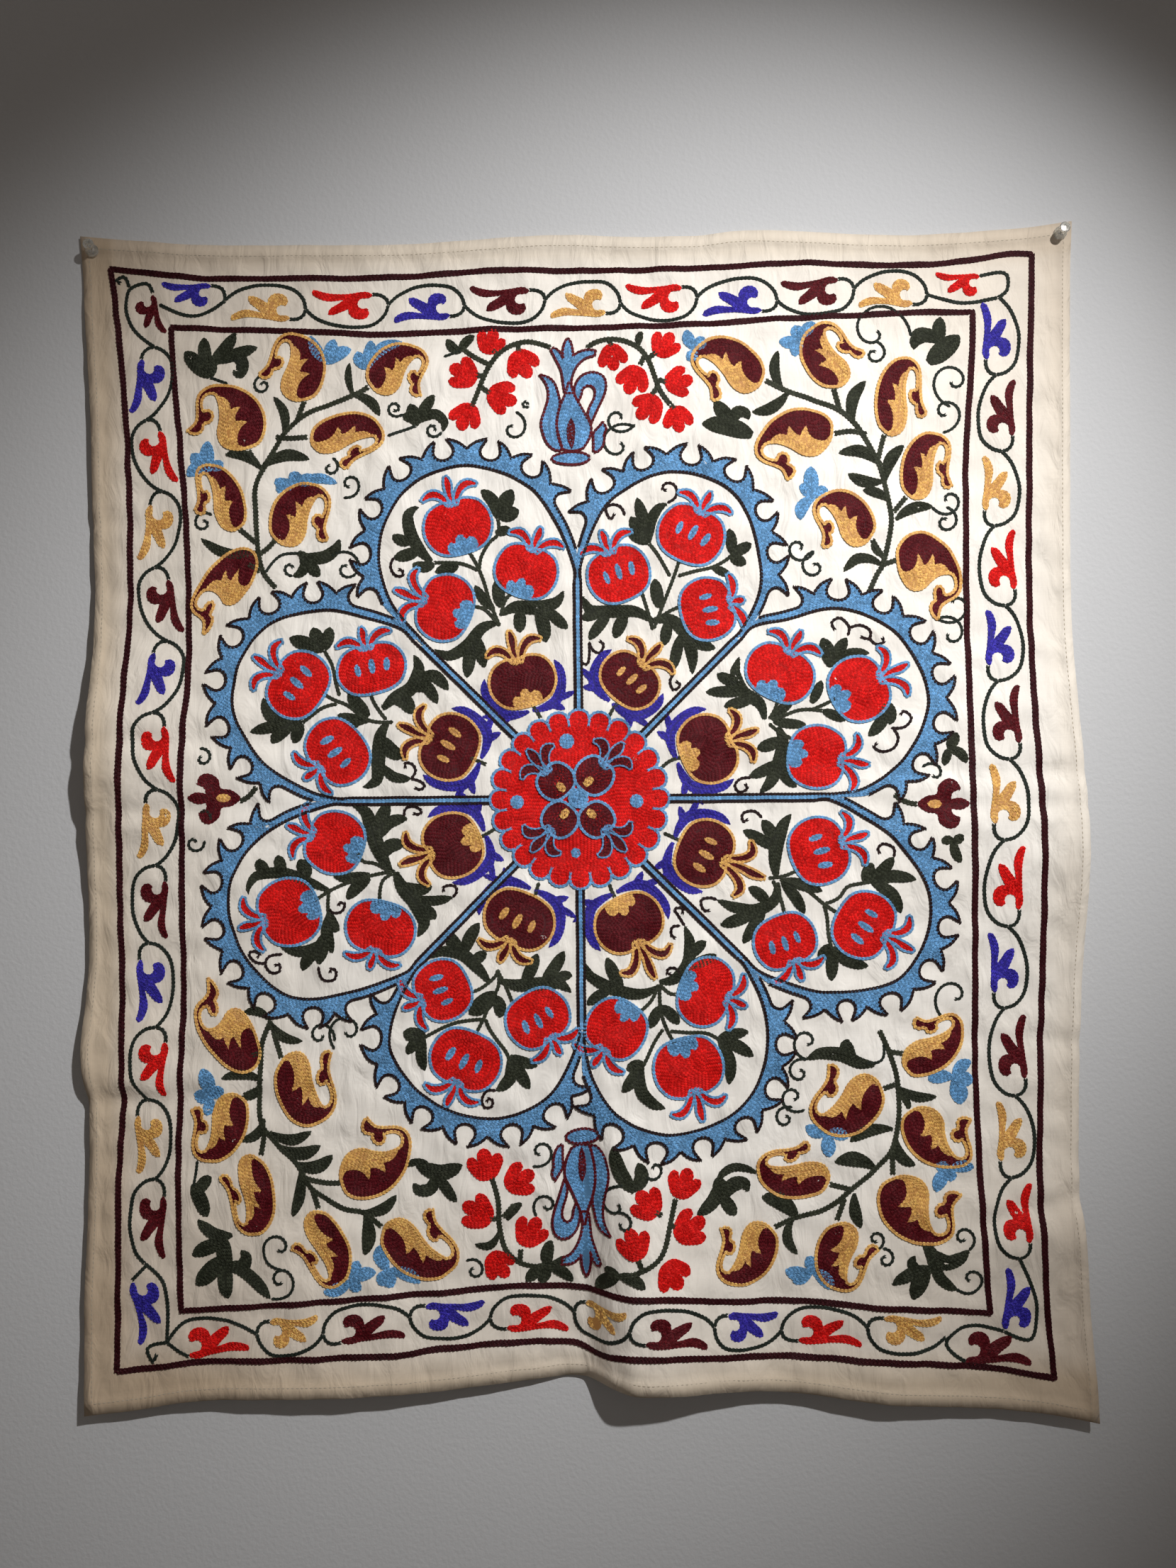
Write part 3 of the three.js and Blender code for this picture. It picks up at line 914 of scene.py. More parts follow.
CORNER_VINES = {
    "top": (
        ((381, -58), (350, -62), (318, -54)),
        ((365, -38), (388, -36), (390, -50), (381, -58)),
        ((-380, -90), (-402, -69), (-405, -38), (-388, -31), (-382, -40)),
        ((-404, -34), (-409, -24), (-416, -27), (-412, -30)),
        ((-376, -51), (-345, -62), (-315, -49)),
        ((-315, -49), (-318, -38), (-329, -34)),
    ),
    "left": (
        ((-393, -918), (-375, -936), (-372, -965), (-373, -988)),
        ((-391, -919), (-405, -933)),
    ),
    "bottom": (
        ((-373, -988), (-390, -993), (-386, -1005), (-382, -998)),
        ((-373, -988), (-355, -969), (-320, -967), (-290, -978)),
        ((-373, -988), (-352, -1000)),
        ((339, -1004), (322, -988), (339, -974), (374, -979)),
    ),
    "right": (
        ((374, -979), (398, -985), (403, -955), (387, -913)),
    ),
}
# The flowers there: border, colour, root x, z, tail tip x, z, side of the hook.
CORNER_FLOWERS = (
    ("top", "red", 365, -38, 326, -35, 1),
    ("top", "maroon", -382, -42, -370, -77, -1),
    ("top", "violet", -329, -34, -374, -31, 1),
    ("left", "violet", -405, -935, -397, -990, 1),
    ("bottom", "red", -352, -1000, -297, -991, 1),
    ("bottom", "maroon", 339, -1004, 397, -1006, 1),
    ("right", "violet", 374, -977, 377, -922, -1),
)

# A bend, as shares of its length and its depth, and the hook that carries the flower.
BEND = ((0, 0), (0.05, 0.5), (0.19, 0.92), (0.40, 1.02), (0.65, 0.88), (0.87, 0.5), (1, 0))
BEND_DEPTH = 18.5
HOOK = ((0, 0), (0.02, -0.30), (0.09, -0.50), (0.19, -0.55))

# The border flower, from its base along the bend: a hooked head, a lobe and a long tail.
FLOWER_LENGTH = 74
FLOWER_REACH = 54.3
FLOWER_TILT = 6
FLOWER_MOST, FLOWER_LEAST, FLOWER_DEPTH = 1.04, 0.8, 0.98
FLOWER = (
    (0, 0, 1), (0.6, 2.2), (4.4, 3.5), (10, 4.1), (12.6, 7.9), (12, 11.6), (8, 13.6),
    (4.6, 12.4, 1), (2.2, 16.4), (3.6, 20.8), (8, 23.2), (14.4, 23), (19, 19.5), (20.4, 14.2, 1),
    (26, 17.4), (33, 20.6), (38.4, 20.8, 1), (36.8, 14.8), (30.4, 9.6), (25.6, 5.5, 1),
    (31, 6.4), (38, 7.6), (44.5, 7), (52.5, 3.4), (54.3, 0, 1), (52, -1.8), (48.5, -0.9),
    (39, 0.6), (30, 0.6), (18, -0.7), (6, -2.4),
)

# The rails on either side of the vine, all the way round. A third value marks a corner.
OUTER_RAIL = (
    (-422, -16, 1), (-413, -75), (-405, -175), (-402, -325), (-405, -400), (-407, -467),
    (-413, -567), (-412, -650), (-411, -760), (-416, -840), (-417, -900), (-418, -980),
    (-417, -1013, 1), (-393, -1011), (-343, -1004), (-277, -1001), (-200, -997), (-170, -997),
    (-127, -992), (-60, -988), (-10, -990), (13, -996), (40, -991), (77, -991), (133, -997),
    (200, -999), (283, -1003), (350, -1008), (417, -1019, 1), (412, -950), (407, -860),
    (409, -760), (411, -653), (410, -567), (408, -500), (405, -433), (405, -275), (407, -175),
    (409, -100), (413, -18, 1), (390, -18), (353, -24), (287, -27), (200, -23), (130, -26),
    (30, -27), (-70, -25), (-120, -28), (-177, -30), (-260, -29), (-338, -27),
)
INNER_RAIL = (
    (-365, -72, 1), (-363, -108), (-357, -175), (-352, -242), (-349, -325), (-349, -400),
    (-353, -450), (-355, -500), (-357, -600), (-356, -680), (-360, -770), (-362, -860),
    (-360, -960, 1), (-273, -953), (-197, -947), (-100, -941), (-60, -938), (-13, -940),
    (33, -941), (67, -941), (133, -950), (200, -951), (267, -956), (333, -960),
    (362, -963, 1), (357, -900), (352, -760), (352, -653), (350, -500), (349, -328),
    (350, -208), (353, -158), (357, -108), (358, -71, 1), (320, -70), (253, -72), (180, -74),
    (130, -77), (30, -79), (-70, -79), (-120, -81), (-177, -82), (-227, -79), (-293, -76),
)
RAIL_ROWS = (-1.3, 1.3)


def offset(path, out):
    """A closed path moved to its left by out."""
    toward = np.roll(path, -1, 0) - np.roll(path, 1, 0)
    toward = toward / np.maximum(np.hypot(*toward.T), 1e-9)[:, None]
    return path + np.stack([-toward[:, 1], toward[:, 0]], -1) * out


def along_bend(shape, start, end, side, depth):
    """Points given as shares of a bend's length and depth, set between its two ends."""
    start, end = np.array(start, float), np.array(end, float)
    toward = end - start
    across = np.array([-toward[1], toward[0]]) / np.hypot(*toward) * side
    shape = np.asarray(shape, float)
    return start + shape[:, :1] * toward + shape[:, 1:] * across * depth


def make_border():
    for rail in (OUTER_RAIL, INNER_RAIL):
        line = outline(rail)
        for row in RAIL_ROWS:
            chain("rails", "edge", offset(line, row), closed=True, width=2.9, link=3.6, high=1.4,
                  backed=True)
    for side_name, rows in BORDER.items():
        piece = "border_" + side_name
        for (x, z, side, colour), following in zip(rows, rows[1:]):
            if not side:
                continue
            end = following[:2]
            swing, hook = (curve(along_bend(shape, (x, z), end, side, BEND_DEPTH), False)
                           for shape in (BEND, HOOK))
            vine(piece, swing, hook)
            length = math.dist((x, z), end)
            turn = math.degrees(math.atan2(end[1] - z, end[0] - x))
            shape = outline(FLOWER) * (min(FLOWER_MOST, length / FLOWER_LENGTH), side * FLOWER_DEPTH)
            fill(piece, colour, moved(shape, *hook[-1], turn - side * FLOWER_TILT))
        vine(piece, *(curve(path, False) for path in CORNER_VINES[side_name]))
    for side_name, colour, x, z, tail_x, tail_z, side in CORNER_FLOWERS:
        length = math.dist((x, z), (tail_x, tail_z)) / FLOWER_REACH
        turn = math.degrees(math.atan2(tail_z - z, tail_x - x))
        shape = outline(FLOWER) * (length, side * max(length, FLOWER_LEAST))
        fill("border_" + side_name, colour, moved(shape, x, z, turn))


# The paisleys

# One paisley upright, its stem at 0, 0 and its tail to the left.
PAISLEY_BACK = (
    (0, 1.5), (8, 6), (12.3, 14.5), (13.2, 23), (11.3, 33.5), (6, 43), (-1.7, 50.3),
    (-11.5, 55.6), (-21, 57.6), (-32, 58.2), (-39.5, 56), (-44.8, 51.5), (-47.2, 44),
    (-47.2, 34), (-48.2, 26.5), (-52, 21.5), (-56, 18, 1), (-52, 15.3), (-46, 15.2),
    (-42.5, 18.5), (-41.5, 24), (-37.6, 24.6), (-33.8, 28), (-33.6, 32.5), (-37, 35.2),
    (-41.5, 34.3, 1), (-43.2, 39), (-43, 45), (-40.5, 49.5), (-36, 51.3),
)
PAISLEY_FRONT = (
    (-36, 51.3), (-31, 50), (-28, 45), (-26, 37), (-26.3, 27), (-28.3, 17), (-27, 9),
    (-23, 3.5), (-16, 0.3), (-8, -0.7), (0, 1.5),
)
PAISLEY_DIVIDE = (
    (-36, 51.3), (-29, 48.5), (-23, 46.5), (-19, 42.5), (-17.5, 36, 1), (-13, 38), (-8.5, 39, 1),
    (-13, 30.5), (-13, 25.3, 1), (-7.5, 25.7), (-2, 24.8, 1), (-8, 20), (-11, 14), (-11, 8),
    (-9, 3), (0, 1.5),
)
# The three points of it that place each paisley: stem, tail tip and the top of its back.
PAISLEY_KEYS = ((0, 0), (-56, 18), (-11.5, 55.6))

# Each paisley: stem x, z, tail tip x, z, top of the back x, z.
PAISLEYS = (
    (-243, -142, -285, -116, -238, -86),
    (-183, -130, -138, -138, -152, -91),
    (-293, -185, -350, -167, -304, -129),
    (-303, -257, -343, -240, -320, -201),
    (-238, -175, -205, -204, -180, -160),
    (-270, -268, -222, -268, -245, -217),
    (170, -130, 124, -147, 124, -91),
    (233, -138, 261, -105, 209, -88),
    (278, -179, 315, -162, 288, -114),
    (232, -178, 190, -220, 176, -168),
    (298, -235, 337, -227, 314, -180),
    (265, -273, 221, -280, 234, -230),
    (287, -295, 323, -347, 333, -283),
    (-269, -737, -223, -729, -242, -794),
    (-305, -768, -350, -781, -324, -825),
    (-290, -822, -324, -842, -285, -888),
    (-215, -845, -191, -787, -157, -833),
    (-235, -869, -258, -904, -209, -927),
    (-178, -888, -132, -869, -126, -929),
    (269, -763, 222, -743, 223, -804),
    (293, -783, 347, -792, 318, -833),
    (220, -848, 200, -810, 161, -846),
    (276, -842, 337, -858, 293, -898),
    (227, -882, 263, -905, 218, -937),
    (170, -887, 124, -886, 143, -936),
    (-289, -300, -336, -352, -326, -290),
    (-289, -716, -334, -662, -327, -732),
    (290, -748, 300, -701, 340, -722),
)


def fitted(shape, keys, places):
    """A shape moved so that its three key points fall on three places."""
    keys, places = np.array(keys, float), np.array(places, float)
    source = (keys[1:] - keys[0]).T
    target = (places[1:] - places[0]).T
    return places[0] + (np.asarray(shape) - keys[0]) @ (target @ np.linalg.inv(source)).T


def paisley(back, front, divide):
    piece = zone(back[0][1])
    fill(piece, "maroon", np.concatenate([back[:-1], divide[:-1]]))
    fill(piece, "gold", np.concatenate([front[:-1], divide[::-1][:-1]]), lift=0.12)
    edging(piece, "gold", np.concatenate([back[:-1], front[:-1]]), width=2.9)


def make_paisleys():
    for row in PAISLEYS:
        places = np.reshape(row, (3, 2))
        paisley(*(
            fitted(outline(part, False), PAISLEY_KEYS, places)
            for part in (PAISLEY_BACK, PAISLEY_FRONT, PAISLEY_DIVIDE)))


# The medallion: a rosette with eight petals round it.

CENTRE = (2, -504)
ROSETTE_RADIUS = 79
SCALLOPS = 24
NOTCH = 7
BOSS = (-1, 1)
BOSS_RADIUS = 8
HALF_PETAL = 22.5
FOOT = math.radians(HALF_PETAL)
PARTING = 15

# Each petal: where it points, whether its fruits have seeds or a calyx, and its arch in the
# petal's own frame: s across it and r out from the rosette's centre.
PETALS = (
    {"axis": 22.5, "seeds": True,
     "arch": ((-80, 194), (-79, 240), (-70, 267), (-38, 301), (3, 310), (36, 300), (68, 262),
              (80, 232), (81, 194))},
    {"axis": 67.5, "seeds": False,
     "arch": ((-76, 206), (-76, 232), (-67, 279), (-34, 314), (4, 325), (44, 319), (79, 281),
              (90, 239), (90, 209))},
    {"axis": 112.5, "seeds": True,
     "arch": ((-79, 210), (-80, 240), (-72, 273), (-40, 318), (3, 332), (46, 320), (77, 269),
              (82, 240), (82, 206))},
    {"axis": 157.5, "seeds": False,
     "arch": ((-79, 195), (-78, 240), (-63, 277), (-36, 304), (3, 314), (46, 304), (78, 273),
              (87, 238), (85, 206))},
    {"axis": 202.5, "seeds": True,
     "arch": ((-76, 202), (-78, 243), (-67, 268), (-38, 293), (3, 302), (42, 294), (73, 272),
              (82, 243), (85, 198))},
    {"axis": 247.5, "seeds": False,
     "arch": ((-78, 207), (-78, 262), (-64, 306), (-34, 326), (3, 334), (44, 325), (74, 294),
              (85, 254), (87, 207))},
    {"axis": 292.5, "seeds": True,
     "arch": ((-83, 204), (-84, 232), (-75, 277), (-42, 318), (3, 330), (42, 318), (72, 277),
              (80, 238), (81, 206))},
    {"axis": 337.5, "seeds": False,
     "arch": ((-79, 184), (-87, 232), (-78, 278), (-46, 312), (-11, 322), (30, 313), (68, 276),
              (78, 234), (74, 195))},
)

# The fruits of each petal, the maroon one first: x, z, lean (clockwise from upright), half
# width, half height, and how far the crown's middle tip is from the centre.
PETAL_FRUITS = (
    ((48, -398, 41, 28, 21, 44), (39, -303, -22, 28, 24, 44), (104, -268, 25, 30, 25, 44),
     (118, -335, 75, 28, 23.5, 36)),
    ((117, -460, 69, 31, 24, 49), (182, -393, 27, 31, 23.5, 44), (252, -408, 63, 29, 25, 51),
     (214, -468, 99, 28, 25, 49)),
    ((113, -553, 113, 30, 24, 59), (215, -552, 70, 30, 25, 48), (254, -618, 118, 30, 25, 51),
     (184, -632, 156, 28, 23, 40)),
    ((45, -615, 155, 31, 24, 56), (33, -709, -148, 27, 25, 42), (113, -677, 109, 31, 23, 40),
     (97, -744, 165, 31, 26, 51)),
    ((-53, -611, -155, 32, 24, 44), (-122, -674, -115, 27.5, 24, 41),
     (-37.4, -699.6, 147, 29, 24, 40), (-102, -736, -157, 32, 25.5, 47)),
    ((-112, -544, -110, 29, 25, 52), (-218, -541, -70, 28, 25.5, 48),
     (-260, -603, -108, 30, 27, 50), (-178, -618, -165, 31.5, 23.5, 40)),
    ((-114, -456, -66, 30, 24.5, 52), (-250, -399, -57, 31, 24.5, 50),
     (-184, -385, -14, 31, 22, 40), (-215, -459, -130, 31, 24.5, 41)),
    ((-48, -398, -15, 30, 22.5, 48), (-105, -258, -14, 31, 24.5, 48),
     (-44, -299, 19, 28.5, 23, 43), (-117, -331, -70, 30, 24, 50)),
)

# The leaves of each petal, in sprays: each blade is its half width and the places it runs by.
PETAL_LEAVES = (
    (
        ((5, (66, -275), (58, -270), (48, -266)), (5.5, (65, -274), (57, -262), (50, -251)),
         (5, (66, -272), (61, -252), (56, -234)), (4.5, (66, -275), (68, -256), (75, -244),
          (83, -240))),
        ((4.5, (141, -286), (140, -274), (138, -263)), (4.5, (141, -286), (150, -281), (158, -277)),
         (4.5, (139, -288), (147, -292), (153, -295))),
        ((3.5, (123, -297), (131, -301), (139, -305)),),
        ((5, (69, -345), (55, -337), (35, -336), (17, -337), (5, -321)),
         (4.5, (24, -337), (14, -339), (6, -343)), (4.5, (30, -338), (20, -350), (12, -361)),
         (5, (45, -338), (39, -350), (35, -360))),
        ((5.5, (69, -345), (81, -343), (95, -351), (103, -369), (104, -393)),
         (4.5, (97, -356), (111, -366), (125, -370)), (4.5, (94, -358), (90, -374), (86, -390)),
         (4.5, (83, -345), (81, -356), (79, -367))),
        ((5, (75, -333), (73, -320), (71, -307)),),
    ),
    (
        ((5, (168, -434), (164, -420), (150, -410), (142, -400), (146, -378)),
         (4.5, (145, -404), (135, -398), (126, -393)), (4.5, (150, -410), (133, -409), (116, -409)),
         (4.5, (158, -416), (145, -419), (132, -422))),
        ((5.5, (180, -441), (184, -452), (182, -464), (178, -482), (163, -500)),
         (5, (183, -452), (172, -457), (161, -460)), (4.5, (180, -472), (167, -480), (154, -485)),
         (5, (182, -468), (186, -484), (196, -495))),
        ((6, (228, -388), (225, -374), (220, -362)), (5, (229, -386), (235, -373), (242, -362)),
         (4, (229, -386), (245, -376), (262, -376))),
        ((5, (277, -420), (272, -437), (260, -450)), (4.5, (277, -420), (280, -430), (279, -440))),
        ((4, (174, -434), (184, -425), (194, -418)), (4, (176, -436), (190, -438), (205, -439))),
        ((4, (220, -427), (230, -431), (240, -436)), (4, (210, -420), (215, -410), (219, -400))),
    ),
    (
        ((5.5, (177, -574), (176, -560), (178, -544), (183, -530), (191, -519)),
         (5, (176, -546), (172, -534), (165, -524)), (4.5, (176, -550), (163, -541), (148, -533))),
        ((5, (178, -580), (176, -594), (166, -603), (148, -604), (124, -595)),
         (4.5, (170, -600), (162, -590), (152, -584)), (5, (158, -607), (142, -613), (127, -618)),
         (5, (166, -604), (156, -620), (147, -634))),
        ((5, (256, -581), (258, -572), (262, -563)), (5, (260, -580), (271, -570), (281, -558)),
         (5, (260, -580), (280, -575), (300, -578)), (5, (262, -581), (278, -590), (287, -608))),
        ((4.5, (225, -636), (219, -642), (214, -648)), (5, (226, -638), (226, -653), (225, -668)),
         (5, (226, -638), (240, -650), (258, -655))),
        ((4.5, (182, -578), (200, -582), (218, -588)), (4.5, (182, -579), (193, -592),
          (202, -608))),
    ),
    (
        ((5, (70, -673), (58, -679), (45, -677), (28, -673), (12, -664), (3, -648)),
         (5, (38, -675), (31, -660), (25, -646)), (4.5, (28, -674), (16, -681), (7, -688))),
        ((5, (72, -668), (84, -666), (94, -658), (100, -640), (95, -618)),
         (4.5, (99, -646), (106, -638), (114, -632)), (4.5, (96, -654), (110, -650), (123, -644))),
        ((4.5, (57, -740), (50, -742), (42, -746)), (5, (56, -741), (48, -753), (38, -765)),
         (5, (56, -740), (53, -757), (60, -772), (76, -780))),
        ((4.5, (124, -719), (138, -715), (151, -713)), (5, (124, -720), (140, -725), (155, -735)),
         (5, (125, -720), (134, -740), (133, -760))),
        ((4.5, (73, -690), (67, -700), (63, -709)), (4.5, (73, -690), (82, -697), (89, -706))),
    ),
    (
        ((5, (-81, -667), (-90, -655), (-99, -647), (-111, -638), (-121, -639), (-135, -645)),
         (5.5, (-105, -640), (-112, -632), (-118, -622)), (5, (-103, -642), (-98, -628),
          (-89, -614)),
         (4.5, (-97, -650), (-91, -646), (-83, -640))),
        ((5.5, (-70, -666), (-55, -670), (-35, -669), (-19, -668), (-7, -677)),
         (5, (-50, -669), (-43, -656), (-37, -642)), (5, (-33, -669), (-22, -655), (-13, -640)),
         (4, (-22, -667), (-14, -662), (-6, -662))),
        ((6, (-138, -716), (-149, -714), (-158, -711)), (4.5, (-139, -716), (-149, -723),
          (-155, -731)),
         (4.5, (-140, -716), (-142, -732), (-139, -746))),
        ((4.5, (-63, -734), (-51, -739), (-38, -743)), (5, (-62, -735), (-53, -750), (-45, -763)),
         (5, (-63, -735), (-62, -752), (-75, -764))),
        ((7, (-75, -677), (-87, -687), (-99, -696)), (5, (-74, -680), (-71, -690), (-71, -699))),
    ),
    (
        ((6, (-168, -568), (-177, -552), (-183, -536), (-187, -522), (-192, -512), (-203, -508)),
         (5.5, (-182, -534), (-176, -519), (-170, -505)), (5, (-180, -538), (-169, -523),
          (-153, -520)),
         (5.5, (-176, -556), (-170, -545), (-155, -543))),
        ((6, (-164, -568), (-159, -580), (-151, -590), (-143, -600), (-139, -614), (-145, -626)),
         (5, (-158, -578), (-147, -584), (-131, -581)), (4, (-148, -592), (-130, -594),
          (-113, -591)),
         (5, (-143, -598), (-136, -603), (-128, -610))),
        ((4.5, (-224, -584), (-237, -580), (-247, -572), (-259, -569), (-275, -567), (-289, -570),
          (-296, -578), (-297, -587)),
         (5, (-279, -568), (-285, -562), (-287, -555)), (5, (-266, -569), (-268, -560),
          (-271, -552)),
         (5.5, (-244, -573), (-246, -564), (-251, -556))),
        ((5, (-224, -604), (-222, -614), (-215, -620)), (5, (-224, -606), (-226, -624),
          (-221, -640)),
         (6, (-226, -622), (-232, -638), (-233, -650)), (5, (-230, -632), (-243, -644),
          (-249, -656)),
         (4.5, (-228, -626), (-240, -637), (-255, -638), (-269, -633))),
        ((4.5, (-187, -570), (-205, -573), (-220, -571)), (5, (-187, -573), (-199, -581),
          (-208, -592))),
    ),
    (
        ((6, (-227, -367), (-243, -362), (-258, -356)), (5.5, (-227, -367), (-233, -356),
          (-237, -347)),
         (5, (-226, -367), (-223, -356), (-221, -347))),
        ((5, (-247, -433), (-262, -434), (-278, -437), (-294, -441)),
         (5, (-250, -433), (-272, -430), (-282, -410)), (5, (-256, -435), (-268, -443),
          (-275, -451)),
         (5, (-248, -433), (-252, -443), (-255, -451))),
        ((5.5, (-174, -421), (-163, -411), (-151, -405), (-142, -393), (-142, -381), (-146, -373)),
         (5, (-144, -397), (-128, -392), (-115, -405)), (5, (-152, -405), (-136, -401),
          (-125, -417)),
         (6, (-166, -414), (-155, -414), (-148, -426))),
        ((5.5, (-170, -433), (-177, -447), (-179, -463), (-177, -475), (-182, -487), (-193, -491)),
         (6, (-177, -446), (-168, -458), (-156, -465)), (4, (-176, -471), (-165, -482),
          (-149, -484))),
        ((5.5, (-187, -428), (-198, -416), (-205, -406)), (4.5, (-187, -431), (-202, -430),
          (-215, -426))),
    ),
    (
        ((5, (-69, -251), (-73, -236), (-84, -225)), (6.5, (-69, -251), (-63, -238), (-56, -225)),
         (6, (-68, -250), (-58, -247), (-50, -244))),
        ((4, (-71, -265), (-64, -262), (-57, -262)),),
        ((5, (-129, -289), (-139, -279), (-147, -265), (-151, -253), (-147, -243), (-140, -240)),
         (4.5, (-146, -270), (-155, -270), (-164, -265)), (5, (-140, -279), (-152, -283),
          (-163, -285)),
         (4.5, (-127, -291), (-136, -294), (-146, -291))),
        ((5, (-105, -293), (-115, -296), (-126, -298)),),
        ((5, (-70, -345), (-83, -349), (-90, -358), (-100, -367), (-114, -374), (-127, -368)),
         (5, (-94, -362), (-96, -378), (-98, -394)), (5, (-90, -356), (-86, -371), (-82, -385))),
        ((5.5, (-66, -337), (-55, -331), (-39, -332), (-25, -331), (-15, -325), (-11, -317)),
         (5, (-50, -333), (-50, -344), (-50, -354)), (5.5, (-34, -333), (-29, -347), (-27, -363)),
         (4.5, (-26, -333), (-17, -342), (-7, -351))),
        ((4, (-73, -333), (-83, -323), (-90, -311)), (5, (-67, -331), (-69, -318), (-70, -306))),
    ),
)
# A blade's half width along it, in shares.
BLADE = ((0, 0.35), (0.22, 0.85), (0.5, 1.0), (0.78, 0.82), (0.92, 0.45), (1, 0.06))
BLADE_FULL = 1.12

# The stems of each petal.
PETAL_STEMS = (
    (
        ((85, -305), (75, -287), (66, -275)),
        ((92, -305), (107, -301), (123, -297), (135, -291), (142, -285)),
        ((69, -353), (65, -337), (59, -318)), ((70, -352), (79, -329), (87, -309), (93, -292)),
        ((72, -345), (83, -337), (95, -332)), ((28, -433), (33, -423), (37, -418)),
    ),
    (
        ((174, -434), (180, -433), (200, -426), (220, -427)), ((210, -426), (222, -421),
         (232, -416)),
        ((172, -434), (178, -424), (180, -416)), ((172, -438), (182, -446), (193, -452)),
        ((74, -478), (84, -470), (96, -467)),
    ),
    (
        ((220, -599), (232, -594), (240, -584), (252, -581), (260, -580)),
        ((219, -600), (222, -612), (223, -628), (226, -640)), ((170, -576), (184, -574),
         (198, -568)),
        ((174, -578), (180, -592), (184, -608)), ((180, -577), (200, -584), (220, -600),
         (232, -608)),
        ((77, -535), (84, -538), (92, -542)),
    ),
    (
        ((75, -710), (67, -722), (61, -734), (57, -742)),
        ((81, -712), (95, -713), (113, -714), (125, -720)), ((71, -670), (65, -684), (55, -694)),
        ((72, -670), (81, -678), (87, -679)), ((72, -670), (73, -694), (78, -710), (85, -723)),
        ((28, -580), (30, -586), (33, -592)),
    ),
    (
        ((-72.6, -656), (-75, -662), (-87, -672), (-97, -676)), ((-72, -659), (-66, -670),
         (-60, -685)),
        ((-72.6, -656), (-72, -670), (-79, -684), (-85, -698), (-89, -706), (-93, -713)),
        ((-84, -700), (-95, -701), (-109, -703), (-121, -707), (-133, -713), (-139, -716)),
        ((-84, -700), (-80, -710), (-73, -720), (-67, -728), (-63, -736)),
        ((-35, -578), (-37, -585), (-39, -592)),
    ),
    (
        ((-171, -566), (-183, -560), (-193, -558), (-198, -550)),
        ((-166, -569), (-175, -575), (-178, -586), (-178, -595)),
        ((-164, -567), (-183, -570), (-207, -577), (-223, -584), (-237, -593)),
        ((-224, -584), (-225, -600), (-224, -612)), ((-89, -538), (-81, -534), (-73, -529)),
    ),
    (
        ((-165, -433), (-187, -431), (-207, -417), (-219, -412), (-229, -406)),
        ((-171, -431), (-177, -423), (-182, -415), (-185, -407)), ((-187, -432), (-195, -434),
         (-201, -439)),
        ((-213, -409), (-216, -397), (-220, -381), (-225, -371), (-227, -367)),
        ((-215, -416), (-227, -419), (-239, -427), (-247, -433)), ((-96, -466), (-88, -469),
         (-81, -472)),
    ),
    (
        ((-68, -348), (-77, -337), (-83, -332), (-92, -330)),
        ((-68, -348), (-77, -325), (-83, -305), (-89, -291), (-95, -281)),
        ((-67, -339), (-63, -325), (-55, -317)),
        ((-87, -298), (-95, -294), (-105, -291), (-119, -290), (-127, -290)),
        ((-86, -297), (-84, -285), (-77, -273), (-69, -265), (-69, -251)),
        ((-40, -418), (-36, -424), (-32, -431)),
    ),
)
# The tendrils of each petal.
PETAL_TENDRILS = (
    (
        ((45, -250), (42, -243), (35, -240), (28, -243), (32, -253), (36, -248)),
        ((83, -239), (90, -235), (92, -228), (88, -222), (81, -222), (79, -227), (83, -228)),
        ((12, -363), (15, -370), (21, -373), (25, -366), (21, -362)),
        ((12, -363), (12, -375), (10, -383), (4, -381), (4, -376)),
        ((89, -391), (84, -399), (87, -407), (93, -403), (89, -399)),
    ),
    (
        ((156, -486), (146, -487), (141, -493), (145, -499), (152, -496), (150, -491)),
        ((243, -360), (244, -352), (236, -344), (229, -348), (232, -355)),
        ((245, -353), (254, -351), (263, -356), (262, -363), (254, -361)),
        ((262, -362), (268, -368), (275, -366), (273, -362)),
        ((280, -443), (292, -442), (298, -434), (292, -428), (288, -432)),
        ((282, -444), (286, -452), (282, -461), (272, -464), (265, -460), (268, -456)),
    ),
    (
        ((165, -522), (158, -516), (148, -518), (148, -525), (153, -523)),
        ((124, -595), (118, -593), (110, -595), (112, -604), (118, -604)),
        ((281, -558), (281, -550), (272, -546), (267, -550), (269, -555)),
    ),
    (
        ((95, -618), (89, -608), (86, -603), (93, -602), (93, -608)),
        ((91, -618), (84, -619), (83, -626), (87, -629)),
        ((90, -662), (87, -656), (80, -656), (79, -661), (83, -660)),
    ),
    (
        ((-75, -764), (-83, -764), (-88, -772), (-86, -779), (-80, -779), (-78, -773), (-82, -771),
         (-84, -775)),
    ),
    (
        ((-156, -518), (-155, -511), (-147, -509), (-140, -513), (-142, -516), (-148, -515)),
        ((-113, -591), (-109, -586), (-110, -581), (-116, -580), (-121, -582), (-120, -586)),
        ((-267, -641), (-279, -643), (-282, -650), (-277, -657), (-269, -656), (-269, -650),
         (-274, -651)),
        ((-282, -649), (-292, -647), (-297, -640), (-292, -638), (-287, -641), (-290, -644)),
        ((-234, -652), (-230, -664), (-220, -664), (-218, -656), (-223, -654), (-223, -658)),
        ((-224, -600), (-221, -604), (-213, -603), (-210, -596), (-215, -595), (-215, -598)),
    ),
    (
        ((-149, -484), (-140, -487), (-137, -491), (-141, -494), (-146, -492)),
        ((-149, -484), (-145, -477), (-148, -471), (-154, -470), (-154, -475)),
    ),
    (
        ((-163, -285), (-166, -293), (-162, -301), (-155, -302), (-155, -297), (-159, -296)),
    ),
)

# The size at which shapes given in shares are smoothed.
DRAWN = 40

